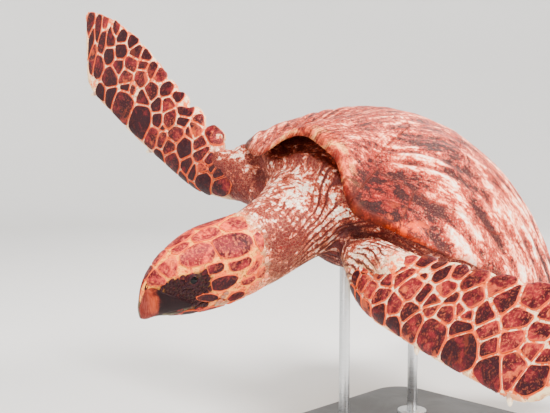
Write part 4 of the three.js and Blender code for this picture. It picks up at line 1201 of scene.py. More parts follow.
class Unrolled:
    """A limb's surface laid flat: millimetres along it, and round it from a start line."""

    def __init__(self, surface, length, start_angle, rows=121, columns=145):
        self.surface, self.length, self.start = surface, length, start_angle
        self.shares = np.linspace(0, 1, rows)
        self.steps = np.linspace(0, 1, 101)
        self.girth, self.table = {}, {}
        turns = np.linspace(0, math.pi, columns)
        for way in (1, -1):
            girths, table = [], []
            for share in self.shares:
                ring = surface(np.full(columns, share), start_angle + way * turns, 0.0)
                gaps = np.linalg.norm(np.diff(ring, axis=0), axis=1)
                travelled = np.concatenate([[0], np.cumsum(gaps)])
                girths.append(travelled[-1])
                table.append(np.interp(self.steps, travelled / travelled[-1], turns))
            self.girth[way], self.table[way] = np.array(girths), np.array(table)
        self.facing = 1.0
        test = np.array([0.5]), np.array([start_angle + 0.7])
        inside = (surface(test[0], test[1] + math.pi, 0.0) - surface(*test, 0.0))[0]
        self.facing = -float(np.sign(self.normals(*test)[0] @ inside))

    def reach(self, along, way):
        """How far round the surface goes on one side, at some millimetres along it."""
        return np.interp(np.asarray(along) / self.length, self.shares, self.girth[way])

    def flat(self, share, angle):
        """The place on the flat sheet of a share of the length and an angle round it."""
        way = 1 if angle >= self.start else -1
        row = int(round(share * (len(self.shares) - 1)))
        part = np.interp(abs(angle - self.start), self.table[way][row], self.steps)
        return np.array([share * self.length, way * part * self.girth[way][row]])

    def turned(self, along, round_it):
        """The surface's own share and angle at places on the flat sheet."""
        share = np.clip(np.asarray(along, float) / self.length, 0, 1)
        turn = np.zeros_like(share)
        row = np.clip(share * (len(self.shares) - 1), 0, len(self.shares) - 1.001)
        low_row = row.astype(int)
        for way in (1, -1):
            part = np.clip(way * round_it / self.reach(along, way), 0, 1)
            column = np.clip(part * (len(self.steps) - 1), 0, len(self.steps) - 1.001)
            low_column = column.astype(int)
            one, two = (between(table[low_row, low_column], table[low_row, low_column + 1],
                                column - low_column)
                        for table in (self.table[way], self.table[way][1:]))
            turn += way * between(one, two, row - low_row) * (way * round_it > 0)
        return share, self.start + turn

    def normals(self, share, angle):
        ahead = self.surface(np.clip(share + 0.004, 0, 1), angle, 0.0)
        behind = self.surface(np.clip(share - 0.004, 0, 1), angle, 0.0)
        turned = self.surface(share, angle + 0.02, 0.0) - self.surface(share, angle - 0.02, 0.0)
        normal = np.cross(ahead - behind, turned)
        return self.facing * normal / np.maximum(np.linalg.norm(normal, axis=-1), 1e-9)[..., None]

    def places(self, flat, lift):
        """Points over the surface, raised by lift along its normal."""
        share, angle = self.turned(flat[:, 0], flat[:, 1])
        return self.surface(share, angle, 0.0) + self.normals(share, angle) * lift[:, None]


def cells(seeds, seam, limits):
    """A polygon for each seed (x, y, size), a seam apart from its neighbours."""
    seeds = np.asarray(seeds, float)
    outlines = []
    for number, (x, y, size) in enumerate(seeds):
        reach = size * 1.75
        turns = np.arange(8) * math.pi / 4 + math.pi / 8
        polygon = [np.array([x + reach * math.cos(turn), y + reach * math.sin(turn)]) for turn in turns]
        away = np.hypot(seeds[:, 0] - x, seeds[:, 1] - y)
        cuts = limits(x, y)
        for other in np.flatnonzero((away > 0) & (away < reach + seeds[:, 2] * 1.75 + 6)):
            gap = away[other]
            way = (seeds[other, :2] - [x, y]) / gap
            halfway = (gap ** 2 + size ** 2 - seeds[other, 2] ** 2) / (2 * gap)
            cut = np.clip(halfway, gap * 0.15, gap * 0.85) - seam(x, y) / 2
            cuts.append((way, way @ [x, y] + cut))
        for way, limit in cuts:
            kept = []
            for corner, after in zip(polygon, polygon[1:] + polygon[:1]):
                here, there = way @ corner - limit, way @ after - limit
                if here <= 0:
                    kept.append(corner)
                if here * there < 0:
                    kept.append(corner + (after - corner) * here / (here - there))
            polygon = kept
            if len(polygon) < 3:
                break
        if len(polygon) >= 3:
            outlines.append((number, np.array(polygon)))
    return outlines


def rounded(outline, count, cut=0.2):
    """A polygon with its corners cut off twice over, and its points then set at even steps."""
    for _ in range(2):
        after = np.roll(outline, -1, 0)
        outline = np.stack([between(outline, after, share) for share in (cut, 1 - cut)], 1).reshape(-1, 2)
    return even_outline([tuple(p) for p in outline], count)


class Plates:
    """Many small domed plates that are gathered into one mesh."""

    INSETS = [0.0, 0.15, 0.5, 1.1, 2.2, 4.0, 7.0, 11.0]
    LIFTS = [-1.0, 0.35, 0.72, 0.92, 1.0, 1.05, 1.08, 1.1]
    SHEET_CORNER, SHEET_SIZE = [20, 290], 600

    def __init__(self):
        self.points, self.faces, self.layout, self.count = [], [], [], 0
        self.measures = {"tone": [], "rim": [], "pale": []}

    def gather(self, sheet, flat, lift, rings, **measures):
        """Rings of points on a flat sheet, with a last point in the middle, lifted off it."""
        count = len(flat) // rings
        self.points.append(sheet.places(flat, lift))
        faces = ring_faces(rings, count) + fan_faces(rings * count, (rings - 1) * count, count, True)
        self.faces += [tuple(corner + self.count for corner in face)[::int(sheet.facing)] for face in faces]
        self.layout.append((flat + self.SHEET_CORNER) / self.SHEET_SIZE)
        for label, values in measures.items():
            self.measures[label].append(np.broadcast_to(values, len(flat)))
        self.count += len(flat)

    def add(self, sheet, outline, height, tone, pale=0.0, wave=0.12, rim=(0.0, 1.0)):
        """One plate: sunk edge, quick bevel and a slightly domed top. Its rim measure is given
        at its edge and inside it."""
        count = len(outline)
        middle = outline.mean(0)
        spoke = outline - middle
        reach_out = np.linalg.norm(spoke, axis=1)
        narrow = reach_out.min()
        kept = [(inset, lift) for inset, lift in zip(self.INSETS, self.LIFTS) if inset < narrow * 0.75]
        rings = [middle + spoke * (1 - inset / reach_out)[:, None] for inset, _ in kept]
        flat = np.vstack(rings + [middle])
        inset = np.concatenate([np.repeat([inset for inset, _ in kept], count), [narrow]])
        lift = np.concatenate([np.repeat([lift for _, lift in kept], count), [kept[-1][1]]]) * height
        lift = lift + wave * soft_waves(flat, 8, 11, 3) * ease(0.3, 3, inset)
        rim = between(*rim, ease(0, 3.6, inset))
        self.gather(sheet, flat, lift, len(kept), tone=tone, rim=rim, pale=pale)

    def piece(self, name):
        measures = {label: np.concatenate(values) for label, values in self.measures.items()}
        made = new_piece(name, np.vstack(self.points), self.faces, plate_horn, measures,
                         np.vstack(self.layout))
        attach(made, "root")


# Horny plates: dark maroon to red-brown, mottled, with a painted orange glow at their thin edges.
plate_horn = Finish("plate horn", Specular_IOR_Level=0.14)
plate_mottle = plate_horn.mottle(48.0, 260.0, 1.1)
tone = plate_horn.measure("tone")
share = plate_horn.times(plate_mottle["Patches"], 0.75, tone)
colour = plate_horn.blend(plate_horn.stretch(share, 0.2, 1.15), "#1d020c", "#8c1b24")
colour = plate_horn.blend(plate_horn.stretch(share, 0.8, 1.35, 0.0, 0.9), colour, "#f2562e")
glow = plate_horn.mottle(24.0, 90.0, 1.3)["Patches"]
glow_share = plate_horn.times(plate_horn.stretch(glow, 0.75, 1.0, 0.0, 0.55),
                              plate_horn.stretch(tone, -0.3, 0.3))
colour = plate_horn.blend(glow_share, colour, "#e2602c")
speckled = plate_horn.stretch(tone, -0.3, 0.5, 0.1, 1.0)
for low, high, most, fleck_colour in ((0.5, 0.95, 0.5, "#de6a44"), (0.45, 0.1, 0.55, "#5a0e14")):
    flecks = plate_horn.stretch(plate_mottle["Flecks"], low, high, 0.0, most)
    colour = plate_horn.blend(plate_horn.times(flecks, speckled), colour, fleck_colour)
# Painted glow: orange at each plate's thin edge.
edge_glow_share = plate_horn.times(plate_horn.stretch(plate_horn.measure("rim"), 0.5, 0.0, 0.0, 0.85),
                             plate_horn.stretch(tone, -0.6, -0.3, 0.05, 1.0))
colour = plate_horn.blend(edge_glow_share, colour, "#d9541f")
pale_colour = plate_horn.blend(plate_horn.stretch(plate_mottle["Patches"], 0.35, 0.9), "#ffe0ad", "#e09660")
colour = plate_horn.blend(plate_horn.measure("pale"), colour, pale_colour)
plate_horn.join(colour, plate_horn.stretch(plate_mottle["Flecks"], 0.0, 1.0, 0.42, 0.6),
                plate_mottle["Flecks"], 0.4, 0.0005)

# Place and size of each plate on the upper faces: share of the flipper's length, share of its
# width from the leading edge, and half its breadth in millimetres, row after row.
LEFT_FLIPPER_PLATES = [
    (.145, .06, 9), (.175, .06, 11), (.215, .07, 10), (.28, .12, 14), (.345, .07, 13), (.42, .15, 17),
    (.49, .15, 25), (.60, .14, 27), (.71, .08, 22), (.755, .22, 18), (.825, .2, 18), (.87, .3, 14),
    (.148, .25, 8), (.18, .28, 13), (.215, .28, 14), (.26, .27, 14), (.325, .27, 15), (.38, .27, 14),
    (.565, .34, 13), (.665, .31, 11),
    (.163, .47, 6), (.178, .5, 6), (.215, .5, 9), (.25, .48, 10), (.285, .6, 13), (.34, .53, 20),
    (.385, .5, 14), (.43, .5, 12), (.445, .42, 9), (.495, .41, 14), (.56, .47, 8), (.64, .43, 13),
    (.71, .43, 14), (.775, .42, 10), (.82, .42, 10),
    (.48, .57, 8), (.525, .54, 8), (.60, .57, 16), (.685, .60, 17), (.765, .58, 12), (.44, .68, 15),
    (.535, .68, 16), (.62, .74, 18), (.83, .6, 13),
    (.395, .78, 12), (.265, .67, 6), (.345, .71, 5), (.49, .83, 15), (.575, .85, 15), (.69, .85, 20),
    (.435, .88, 12), (.76, .8, 14), (.82, .82, 12), (.87, .7, 12), (.88, .48, 12), (.92, .55, 11),
    (.92, .3, 11), (.955, .45, 9), (.93, .78, 9), (.97, .65, 7), (.25, .86, 8), (.3, .93, 11),
    (.35, .94, 8),
]
RIGHT_FLIPPER_PLATES = [
    (.095, .2, 14), (.165, .25, 20), (.215, .25, 15), (.255, .27, 16), (.32, .15, 22), (.20, .06, 10),
    (.26, .06, 12), (.355, .28, 18), (.385, .06, 12), (.40, .3, 14), (.45, .22, 18), (.525, .25, 30),
    (.63, .2, 28), (.705, .17, 15), (.75, .1, 12), (.745, .35, 18), (.82, .33, 14), (.87, .25, 14),
    (.905, .3, 14), (.955, .5, 11),
    (.125, .42, 10), (.155, .52, 8), (.19, .47, 13), (.23, .55, 13), (.30, .5, 20), (.36, .5, 17),
    (.46, .47, 14), (.425, .45, 5), (.56, .52, 12), (.625, .47, 6), (.655, .42, 10), (.68, .53, 13),
    (.735, .53, 11), (.80, .56, 14), (.86, .58, 13), (.91, .64, 12),
    (.19, .7, 10), (.26, .65, 13), (.315, .73, 8), (.42, .6, 16), (.375, .74, 13), (.46, .74, 13),
    (.49, .6, 11), (.55, .66, 13), (.62, .69, 13), (.69, .7, 13), (.765, .73, 13), (.83, .72, 12),
    (.90, .9, 9),
    (.31, .82, 14), (.385, .87, 13), (.32, .94, 8), (.45, .93, 9), (.50, .85, 10), (.56, .92, 9),
    (.60, .86, 10), (.655, .93, 9), (.64, .83, 9), (.70, .87, 10), (.74, .92, 9), (.79, .86, 10),
    (.84, .92, 8), (.245, .92, 15),
]
FRONT_PLATES = {"front_flipper_left": LEFT_FLIPPER_PLATES, "front_flipper_right": RIGHT_FLIPPER_PLATES}
# The plate over the right flipper's first lobe is dark red with a wide painted glow at its edge.
LOBE_PLATE, LOBE_TONE, LOBE_GLOW_RIM = (.245, .92, 15), 0.1, (0.0, 0.5)
# Width of the soft seams between plates, by the leading edge and over the rest of the face.
NARROW_SEAM, WIDE_SEAM, WIDE_SEAM_LEFT = 1.7, 2.3, 3.4


def chance_rows(rows, length, start, sway, sizes, steps):
    """Rows of plates along a flipper's face, with how far chance may move, size and space them."""
    plates = []
    for across, size in rows:
        along = start
        while along < 0.95:
            plates.append((along, across + chance.uniform(-sway, sway), size * chance.uniform(*sizes)))
            along += size * 2.05 / length * chance.uniform(*steps)
    return plates


def upper_face(name):
    """The plates given above, or on a hind flipper rows with the leading one largest."""
    rows = ((.1, 13), (.32, 10), (.53, 9), (.73, 9), (.92, 8))
    return FRONT_PLATES.get(name) or chance_rows(rows, HIND_LENGTH, 0.2, 0.04, (.85, 1.15), (.9, 1.1))


def under_face(name):
    """Rows of smaller plates."""
    if name in FRONT_PLATES:
        rows, length, start = ((.1, 16), (.3, 12), (.5, 11), (.7, 11), (.88, 10)), FRONT_LENGTH, 0.2
    else:
        rows, length, start = ((.12, 11), (.35, 9), (.57, 9), (.8, 9)), HIND_LENGTH, 0.26
    return chance_rows(rows, length, start, 0.05, (.8, 1.15), (.85, 1.15))


for name, flipper in FLIPPERS.items():
    sheet = Unrolled(flipper.at, flipper.length, math.pi)
    front, right = name in FRONT_PLATES, name == "front_flipper_right"
    seeds, plates_given = [], []
    for upper, given in ((True, upper_face(name)), (False, under_face(name))):
        for along, across, size in given:
            turn = math.acos(2 * min(max(across, 0.0), 1.0) - 1)
            x, y = sheet.flat(along, turn if upper else 2 * math.pi - turn)
            seeds.append((x, y, size if front else size * 0.9))
            plates_given.append((upper, (along, across, size)))

    def seam_width(x, y):
        share = abs(y) / float(sheet.reach(x, 1 if y > 0 else -1))
        wide = WIDE_SEAM_LEFT if name == "front_flipper_left" else WIDE_SEAM
        return between(NARROW_SEAM, wide, float(ease(0.15, 0.6, share)))

    def flipper_limits(x, y):
        """The trailing edge and the tip, which no plate crosses."""
        way = 1 if y > 0 else -1
        slope = float(sheet.reach(x + 4, way) - sheet.reach(x - 4, way)) / 8
        edge = np.array([-slope, way]) / math.hypot(slope, 1)
        limit = edge @ [x, way * float(sheet.reach(x, way))] - 1.2
        return [(edge, limit), (np.array([1.0, 0]), sheet.length * 0.992)]

    plates = Plates()
    darkest, palest = (-0.35, 0.1) if right else (-0.12, 0.28)
    for number, outline in cells(seeds, seam_width, flipper_limits):
        x, y, size = seeds[number]
        upper, given = plates_given[number]
        leading = float(ease(0.35, 0.05, abs(y) / sheet.reach(x, 1 if y > 0 else -1)))
        tone, rim = chance.uniform(darkest, palest) - 0.15 * leading, (0.0, 1.0)
        if right and given == LOBE_PLATE:
            tone, rim = LOBE_TONE, LOBE_GLOW_RIM
        pale = 0.0 if upper else chance.choice([0.75, 0.85, 0.3], p=[0.5, 0.3, 0.2])
        outline = rounded(outline, 28 if size > 14 else 20, 0.13)
        plates.add(sheet, outline, 1.0 if front else 0.7, tone, pale, rim=rim)
    plates.piece(f"plates_{name}")

# ---------------------------------------------------------------------------------------------
# Plates of the head. A hawksbill's narrow head has two pairs of prefrontals, one frontal, a
# big plate over each eye and larger ones behind, all thin horn that lies tight on the skull.
# ---------------------------------------------------------------------------------------------

# Each plate of the left side, or of the middle, by its corners: millimetres back from the tip
# of the beak, and degrees round the head from its left side towards its top. Then its tone.
HEAD_PLATES = {
    "first_prefrontal": (0.25, [(13, 88), (12.5, 64), (15, 50), (22, 38), (31, 30), (33, 38), (28, 58),
                                (27, 88)]),
    "second_prefrontal": (0.45, [(29, 84), (30, 60), (36, 40), (45, 39), (51, 52), (54, 66), (50, 80)]),
    "over_eye": (0.5, [(55, 55), (60, 72), (72, 78), (86, 79), (98, 75), (106, 64), (105, 48), (96, 41),
                        (80, 41), (64, 45)]),
    "parietal": (0.25, [(109, 71), (126, 74), (144, 73), (158, 67), (167, 57), (167, 46), (156, 37),
                        (136, 35), (120, 37), (109, 43), (107, 56)]),
    "behind_eye_upper": (0.0, [(87, 37), (98, 37), (109, 36), (113, 31), (110, 24), (100, 22), (88, 24)]),
    "behind_eye_middle": (-0.15, [(90, 13), (98, 16), (113, 16), (127, 12), (134, 6), (128, -3), (116, -8),
                                (104, -8), (92, -3)]),
    "behind_eye_lower": (-0.15, [(69, -8), (79, -5), (91, -8), (101, -15), (103, -22), (92, -24), (80, -19),
                                (71, -14)]),
    "cheek": (-0.1, [(116, -27), (124, -19), (136, -18), (146, -25), (147, -34), (138, -39), (124, -36)]),
    "temporal": (0.15, [(118, 32), (134, 31), (152, 32), (158, 26), (152, 19), (136, 16), (122, 18)]),
    "ear": (0.3, [(146, 6), (150, 12), (160, 17), (167, 26), (175, 24), (173, 14), (162, 7), (152, 3)]),
    "low_temporal": (0.3, [(137, -2), (149, 0), (160, 0), (163, -8), (152, -13), (140, -10)]),
    "neck_side": (0.3, [(167, 4), (178, 8), (181, -2), (174, -10), (165, -7)]),
    "low_cheek": (0.15, [(136, -62), (149, -60), (162, -68), (164, -77), (150, -79), (138, -71)]),
    "jaw": (0.3, [(80, -38), (97, -37), (112, -42), (122, -51), (121, -60), (105, -65), (88, -63),
                  (78, -50)]),
    "jaw_front": (-0.4, [(54, -38), (66, -36), (76, -40), (74, -52), (66, -60), (54, -58)]),
    "jaw_behind": (0.55, [(126, -44), (138, -45), (148, -42), (156, -48), (150, -56), (136, -58),
                          (126, -53)]),
    "collar_side": (0.35, [(170, 44), (172, 56), (180, 60), (185, 48), (181, 34), (175, 30)]),
}
MIDDLE_PLATES = {
    "frontal": (0.5, [(55, 90), (57, 80), (66, 79), (78, 82), (84, 90)]),
    "frontoparietal": (0.5, [(88, 90), (90, 82), (100, 78), (110, 75), (124, 77), (132, 84), (133, 90)]),
    "interparietal": (0.5, [(136, 90), (138, 82), (147, 77), (160, 72), (171, 72), (178, 80), (179, 90)]),
}

head_sheet = Unrolled(head_at, HEAD_LENGTH - 1, math.pi / 2)


def on_head_sheet(corners):
    """A plate's corners on the head laid flat, in order round it."""
    return np.array([head_sheet.flat((back - 1) / (HEAD_LENGTH - 1), math.radians(angle))
                     for back, angle in corners])


def mirrored_plate(corners):
    return [(back, 180 - angle) for back, angle in reversed(corners)]


def turned_forward(outline):
    """The same outline, running anticlockwise on the flat sheet."""
    after = np.roll(outline, -1, 0)
    area = np.sum(outline[:, 0] * after[:, 1] - outline[:, 1] * after[:, 0])
    return outline if area > 0 else outline[::-1]


def drawn_in(outline, inset):
    middle = outline.mean(0)
    spoke = outline - middle
    return middle + spoke * (1 - inset / np.linalg.norm(spoke, axis=1))[:, None]


whole_head = []
for name, (tone, corners) in HEAD_PLATES.items():
    whole_head += [(tone, corners), (tone, mirrored_plate(corners))]
for name, (tone, corners) in MIDDLE_PLATES.items():
    whole_head.append((tone, corners + mirrored_plate(corners[1:-1])))

head_plates = Plates()
kept_clear = []
for tone, corners in whole_head:
    outline = turned_forward(on_head_sheet(corners))
    kept_clear.append(even_outline([tuple(p) for p in outline], 40))
    outline = rounded(drawn_in(outline, -0.7), 40, 0.13)
    head_plates.add(head_sheet, outline, 0.8, tone, 0.0, 0.16)

# Small soft scales fill what the plates leave: finer towards the mouth, the eyes and the neck.
EYE_PLACE = np.array([28, 68, 40.0])
EYE_RADIUS = 12.5


def inside_outline(places, outline):
    """Whether each place lies inside a closed outline."""
    inside = np.zeros(len(places), bool)
    for one, two in zip(outline, np.roll(outline, -1, 0)):
        rise = two[1] - one[1] or 1.0
        crossing = one[0] + (places[:, 1] - one[1]) * (two[0] - one[0]) / rise
        inside ^= ((one[1] > places[:, 1]) != (two[1] > places[:, 1])) & (places[:, 0] < crossing)
    return inside


backs, rounds_it = np.meshgrid(np.arange(20, 182, 5.2), np.arange(-170, 170, 5.6), indexing="ij")
spots = np.column_stack([backs.ravel(), rounds_it.ravel()])
spots = spots[np.abs(spots[:, 1]) < head_sheet.reach(spots[:, 0], 1)]
spots += chance.uniform(-2, 2, spots.shape)
clear = np.min([np.min(np.hypot(*(spots[:, None] - outline[None]).transpose(2, 0, 1)), axis=1)
                for outline in kept_clear], axis=0)
taken = np.any([inside_outline(spots, outline) for outline in kept_clear], axis=0)
local, round_head = head_places(head_sheet.places(spots, np.zeros(len(spots))))
face_angle = side_angle(np.degrees(round_head))
from_eye = np.linalg.norm(np.abs(local) - EYE_PLACE, axis=1)
off_lips = np.where(spots[:, 0] < MOUTH_END, np.abs(off_mouth(local)[0]), 99)
dark_face = (spots[:, 0] < 90) & (face_angle > -32) & (face_angle < 30)
brow = (spots[:, 0] < 84) & (face_angle >= 30)
open_skin = face_angle < -34
wanted = ~taken & ~brow & (clear > np.where(dark_face | open_skin, 2.6, 8.0)) & (from_eye > 17)
wanted &= (off_lips > 3.5) & (spots[:, 0] > 24 + 20 * (local[:, 2] < 20))
seeds = [(x, y, min(3.4, gap)) for (x, y), gap in zip(spots[wanted], clear[wanted])]
dark_seeds, face_angles = dark_face[wanted], face_angle[wanted]
for number, outline in cells(seeds, lambda x, y: 1.1, lambda x, y: []):
    x, y, size = seeds[number]
    if dark_seeds[number]:
        inner = ease(90, 80, x) * ease(-32, -26, face_angles[number]) * ease(31, 25, face_angles[number])
        tone, pale = between(0.0, -0.85, float(inner)) + chance.uniform(-0.1, 0.1), 0.0
    else:
        tone = chance.uniform(0.2, 0.7) if x < MOUTH_END else chance.uniform(0.6, 1.0)
        under_head = float(ease(0.55, 0.8, abs(y) / head_sheet.reach(x, 1 if y > 0 else -1)))
        pale = max(0.4 * under_head, 0.3 * float(ease(150, 178, x)), 0.2 * chance.random())
        pale *= float(ease(84, 104, x))
    outline = rounded(drawn_in(outline, 0.2), 12)
    head_plates.add(head_sheet, outline, 0.45, tone, pale, 0.0, (1.0, 1.0))
head_plates.piece("plates_head")

# ---------------------------------------------------------------------------------------------
# The beak. Two sheaths of hard horn over the jaw bones, like a bird's. The upper one is tall
# and narrow with a hooked tip. The lower one shuts inside it and shows as a thin dark edge.
# ---------------------------------------------------------------------------------------------

beak_horn = Finish("beak horn", Specular_IOR_Level=0.1)
beak_mottle = beak_horn.mottle(60.0, 420.0, 1.0)
growth = beak_horn.scaled(beak_horn.measure("growth", "Vector"), (0.62, 0.62, 0.05))
grain = beak_horn.noise(growth, 1.0, 5.0, 0.65, 0.3)["Fac"]
colour = beak_horn.blend(beak_horn.stretch(grain, 0.4, 0.62), "#86362c", "#4e0f0a")
colour = beak_horn.blend(beak_horn.measure("amber"), colour, "#c44a18")
blotches = beak_horn.stretch(beak_mottle["Patches"], 0.5, 0.85, 0.0, 0.6)
colour = beak_horn.blend(blotches, colour, "#6e1a10")
smoke_share = beak_horn.times(beak_mottle["Patches"], 0.5, beak_horn.measure("smoke"))
colour = beak_horn.blend(beak_horn.stretch(smoke_share, 0.35, 1.1, 0.0, 0.98), colour, "#0f0206")
olive = beak_horn.blend(beak_horn.stretch(beak_mottle["Patches"], 0.3, 0.7), "#17150f", "#57513a")
colour = beak_horn.blend(beak_horn.measure("olive"), colour, olive)
beak_horn.join(colour, beak_horn.stretch(beak_mottle["Flecks"], 0.0, 1.0, 0.28, 0.44), grain, 0.4, 0.0007)


def beak_sheath(shown, reach_back, most, rows):
    """A sheath that stands over the skin where it shows and sinks under it elsewhere."""
    backs = np.concatenate([[-0.8, -0.72, -0.5, -0.1, 0.4], np.linspace(1.0, reach_back, rows)])
    angles, rings = round_turns(260), []
    for back in backs:
        nose = math.sqrt(max(0.0, 1 - ((1.0 - back) / 1.84) ** 2)) if back < 1 else 1.0
        share = np.full(len(angles), (back - 1) / (HEAD_LENGTH - 1))
        local = (head_at(share, angles) - HEAD_TIP) @ HEAD_TURN
        out = local * [1, 0, 1] - [0, 0, (local[:, 2].max() + local[:, 2].min()) / 2]
        out[:, 1] = 0
        way = out / np.linalg.norm(out, axis=1)[:, None]
        here = shown(np.full(len(angles), back), np.degrees(angles), local)
        local = local + way * (between(-1.6, most * float(ease(-2, 12, back)), here))[:, None]
        centre = np.array([0, 0, (local[:, 2].max() + local[:, 2].min()) / 2])
        local = centre * (1 - nose) + local * [nose, 1, nose]
        local[:, 1] = back
        rings.append(local)
    local = np.vstack(rings + [rings[0].mean(0), rings[-1].mean(0)])
    return local, closed_faces(len(backs), len(angles), inside_out=True)


UPPER_SHEATH_TOP = [(-3, 62), (6, 62), (11, 52), (18, 36), (26, 18), (36, 4), (50, -8), (66, -20)]


def upper_shown(backs, degrees, local):
    line = smooth_between(backs, MOUTH_LINE)[0]
    over_mouth = ease(-0.2, 0.8, local[:, 2] - line - 0.4) if backs[0] > 8.5 else np.ones(len(backs))
    top = smooth_between(backs, UPPER_SHEATH_TOP)[0]
    return over_mouth * ease(top + 2.5, top - 1.5, side_angle(degrees)) * ease(68, 60, backs)


def lower_shown(backs, degrees, local):
    line = smooth_between(backs, MOUTH_LINE)[0]
    below = line - local[:, 2]
    return ease(0.4, 1.2, below) * ease(13, 10, below) * ease(8.5, 10.5, backs) * ease(66, 50, backs)


local, faces = beak_sheath(upper_shown, 72, 1.5, 110)
hooked = ease(16, 3, local[:, 1]) * ease(-2, -16, local[:, 2])
local[:, 2] -= 1.8 * hooked
local[:, 1] += 0.6 * hooked
dark_side = ease(9, 29, local[:, 1] + 1.5 * np.sin(local[:, 2] / 4))
upper_beak = new_piece("beak_upper_sheath", from_head(local), faces, beak_horn, {
    "growth": local,
    "smoke": np.maximum(dark_side, 0.6 * ease(-15, -22, local[:, 2]) * ease(20, 12, local[:, 1])),
    "amber": 0.45 * ease(5, 14, local[:, 1]) * ease(24, 18, local[:, 1]) * ease(-12, 0, local[:, 2]),
    "olive": np.zeros(len(local))})
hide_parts("beak_upper")
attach(upper_beak, "root")

local, faces = beak_sheath(lower_shown, 70, 0.5, 100)
lower_beak = new_piece("beak_lower_sheath", from_head(local), faces, beak_horn, {
    "growth": local, "smoke": np.zeros(len(local)), "amber": np.zeros(len(local)),
    "olive": np.full(len(local), 0.95)})
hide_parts("beak_lower")
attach(lower_beak, "root")

# ---------------------------------------------------------------------------------------------
# The eyes. Dark brown balls, wet and glossy, that sit deep between thick lids. The lids are
# wrinkled skin set with tiny scales, and they leave a long almond opening.
# ---------------------------------------------------------------------------------------------

eye_gloss = Finish("wet eye", Specular_IOR_Level=0.12, Coat_Weight=0.05, Coat_Roughness=0.02)
iris_fleck = eye_gloss.noise(eye_gloss.place, 520.0, 3.0)["Fac"]
iris_colour = eye_gloss.blend(iris_fleck, "#1d0f0c", "#4a2a1a")
off_axis = eye_gloss.measure("off_axis")
colour = eye_gloss.blend(eye_gloss.stretch(off_axis, 0.36, 0.42), "#050405", iris_colour)
colour = eye_gloss.blend(eye_gloss.stretch(off_axis, 0.78, 0.92), colour, "#23100f")
eye_gloss.join(colour, eye_gloss.stretch(iris_fleck, 0.0, 1.0, 0.04, 0.07))

LID_RADIUS = 13.9
OPENING_HALF_LENGTH, OPENING_HALF_HEIGHT, OPENING_POWER = 9.6, 5.6, 1.55
OPENING_TILT = math.radians(-24)
LID_STEPS, LID_ROWS = 120, 26
# The lids' edge turns in over the ball: turns off the opening, and distances from its middle.
LID_EDGE = [(0.0, 12.4), (-0.02, 12.9), (-0.01, 13.4), (0.03, 13.85), (0.07, 14.0)]
LID_REACH, LID_FOLD_PITCH, BEAD_PITCH, BEADS_ROUND = 1.3, 0.21, 0.16, 22
LOOK = np.array([0.93, -0.12, 0.34])

for side, label in ((1, "left"), (-1, "right")):
    centre = EYE_PLACE * [side, 1, 1]
    look = LOOK * [side, 1, 1] / np.linalg.norm(LOOK)
    level = np.cross([0, 0, 1.0], look) * -side
    level /= np.linalg.norm(level)
    upright = np.cross(look, level) * side
    upright *= np.sign(upright[2])

    rows, steps = 40, 72
    polar = np.linspace(0, math.pi, rows + 2)[1:-1]
    turns = round_turns(steps)
    rings = [centre + EYE_RADIUS * (look * math.cos(p) + math.sin(p) * (
        np.cos(turns)[:, None] * level + np.sin(turns)[:, None] * upright)) for p in polar]
    local = np.vstack(rings + [centre + EYE_RADIUS * look, centre - EYE_RADIUS * look])
    faces = closed_faces(rows, steps, inside_out=side < 0)
    eye = new_piece(f"eyeball_{label}", from_head(local), faces, eye_gloss,
                    {"off_axis": np.concatenate([np.repeat(np.sin(polar / 2) * 1.7, steps), [0, 2]])})
    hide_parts(f"eye_{label}")
    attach(eye, "root")

    tilted_level = level * math.cos(OPENING_TILT) + upright * math.sin(OPENING_TILT)
    tilted_up = upright * math.cos(OPENING_TILT) - level * math.sin(OPENING_TILT)
    turns = round_turns(LID_STEPS)
    half_height = np.where(np.sin(turns) > 0, OPENING_HALF_HEIGHT, OPENING_HALF_HEIGHT * 0.9)
    opening = ((np.abs(np.cos(turns)) / OPENING_HALF_LENGTH) ** OPENING_POWER
               + (np.abs(np.sin(turns)) / half_height) ** OPENING_POWER) ** (-1 / OPENING_POWER)
    start = np.arcsin(opening / LID_RADIUS)
    spokes = np.cos(turns)[:, None] * tilted_level + np.sin(turns)[:, None] * tilted_up
    rings, from_edge = [], []
    for row in range(LID_ROWS):
        part = max(0.0, (row - 4) / (LID_ROWS - 5))
        off_edge, radius = LID_EDGE[min(row, 4)]
        polar = start + off_edge + part * (LID_REACH - start)
        if row > 4:
            beads = np.cos(polar * 2 * math.pi / BEAD_PITCH) * np.cos(turns * BEADS_ROUND)
            folds = np.cos((polar - start) * 2 * math.pi / LID_FOLD_PITCH)
            radius = radius + (0.28 * beads + 0.35 * folds)[:, None]
        rings.append(centre + radius * (look * np.cos(polar)[:, None] + spokes * np.sin(polar)[:, None]))
        from_edge.append(polar - start)
    local = np.vstack(rings)
    faces = ring_faces(LID_ROWS, LID_STEPS)
    if side < 0:
        faces = [face[::-1] for face in faces]
    above, from_edge = np.tile(np.sin(turns) > 0, LID_ROWS), np.concatenate(from_edge)
    brow = above * ease(0.2, 0.4, from_edge) * ease(0.7, 0.5, from_edge)
    lids = new_piece(f"lids_{label}", from_head(local), faces, plate_horn, {
        "tone": -0.6 + 0.6 * brow, "rim": np.ones(len(local)), "pale": np.zeros(len(local))},
        layout=local[:, [1, 2]] / 400 + [0.2, 0.3])
    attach(lids, "root")

# The nostrils are two small pits with raised rims, just above the beak, their insides painted dark as the
# shade of the openings.
# Each ring of a nostril has a size, a lift and a tone, and its last row is its middle point.
NOSTRIL_RINGS = [(1.7, -1.0, 0.5), (1.45, 0.5, 0.4), (1.2, 0.85, 0.2), (1.0, 0.6, -0.6), (0.85, 0.0, -1.2),
                 (0.6, -0.6, -2), (0.3, -0.7, -2), (0.0, -0.7, -2)]
NOSTRIL_STEPS = 24

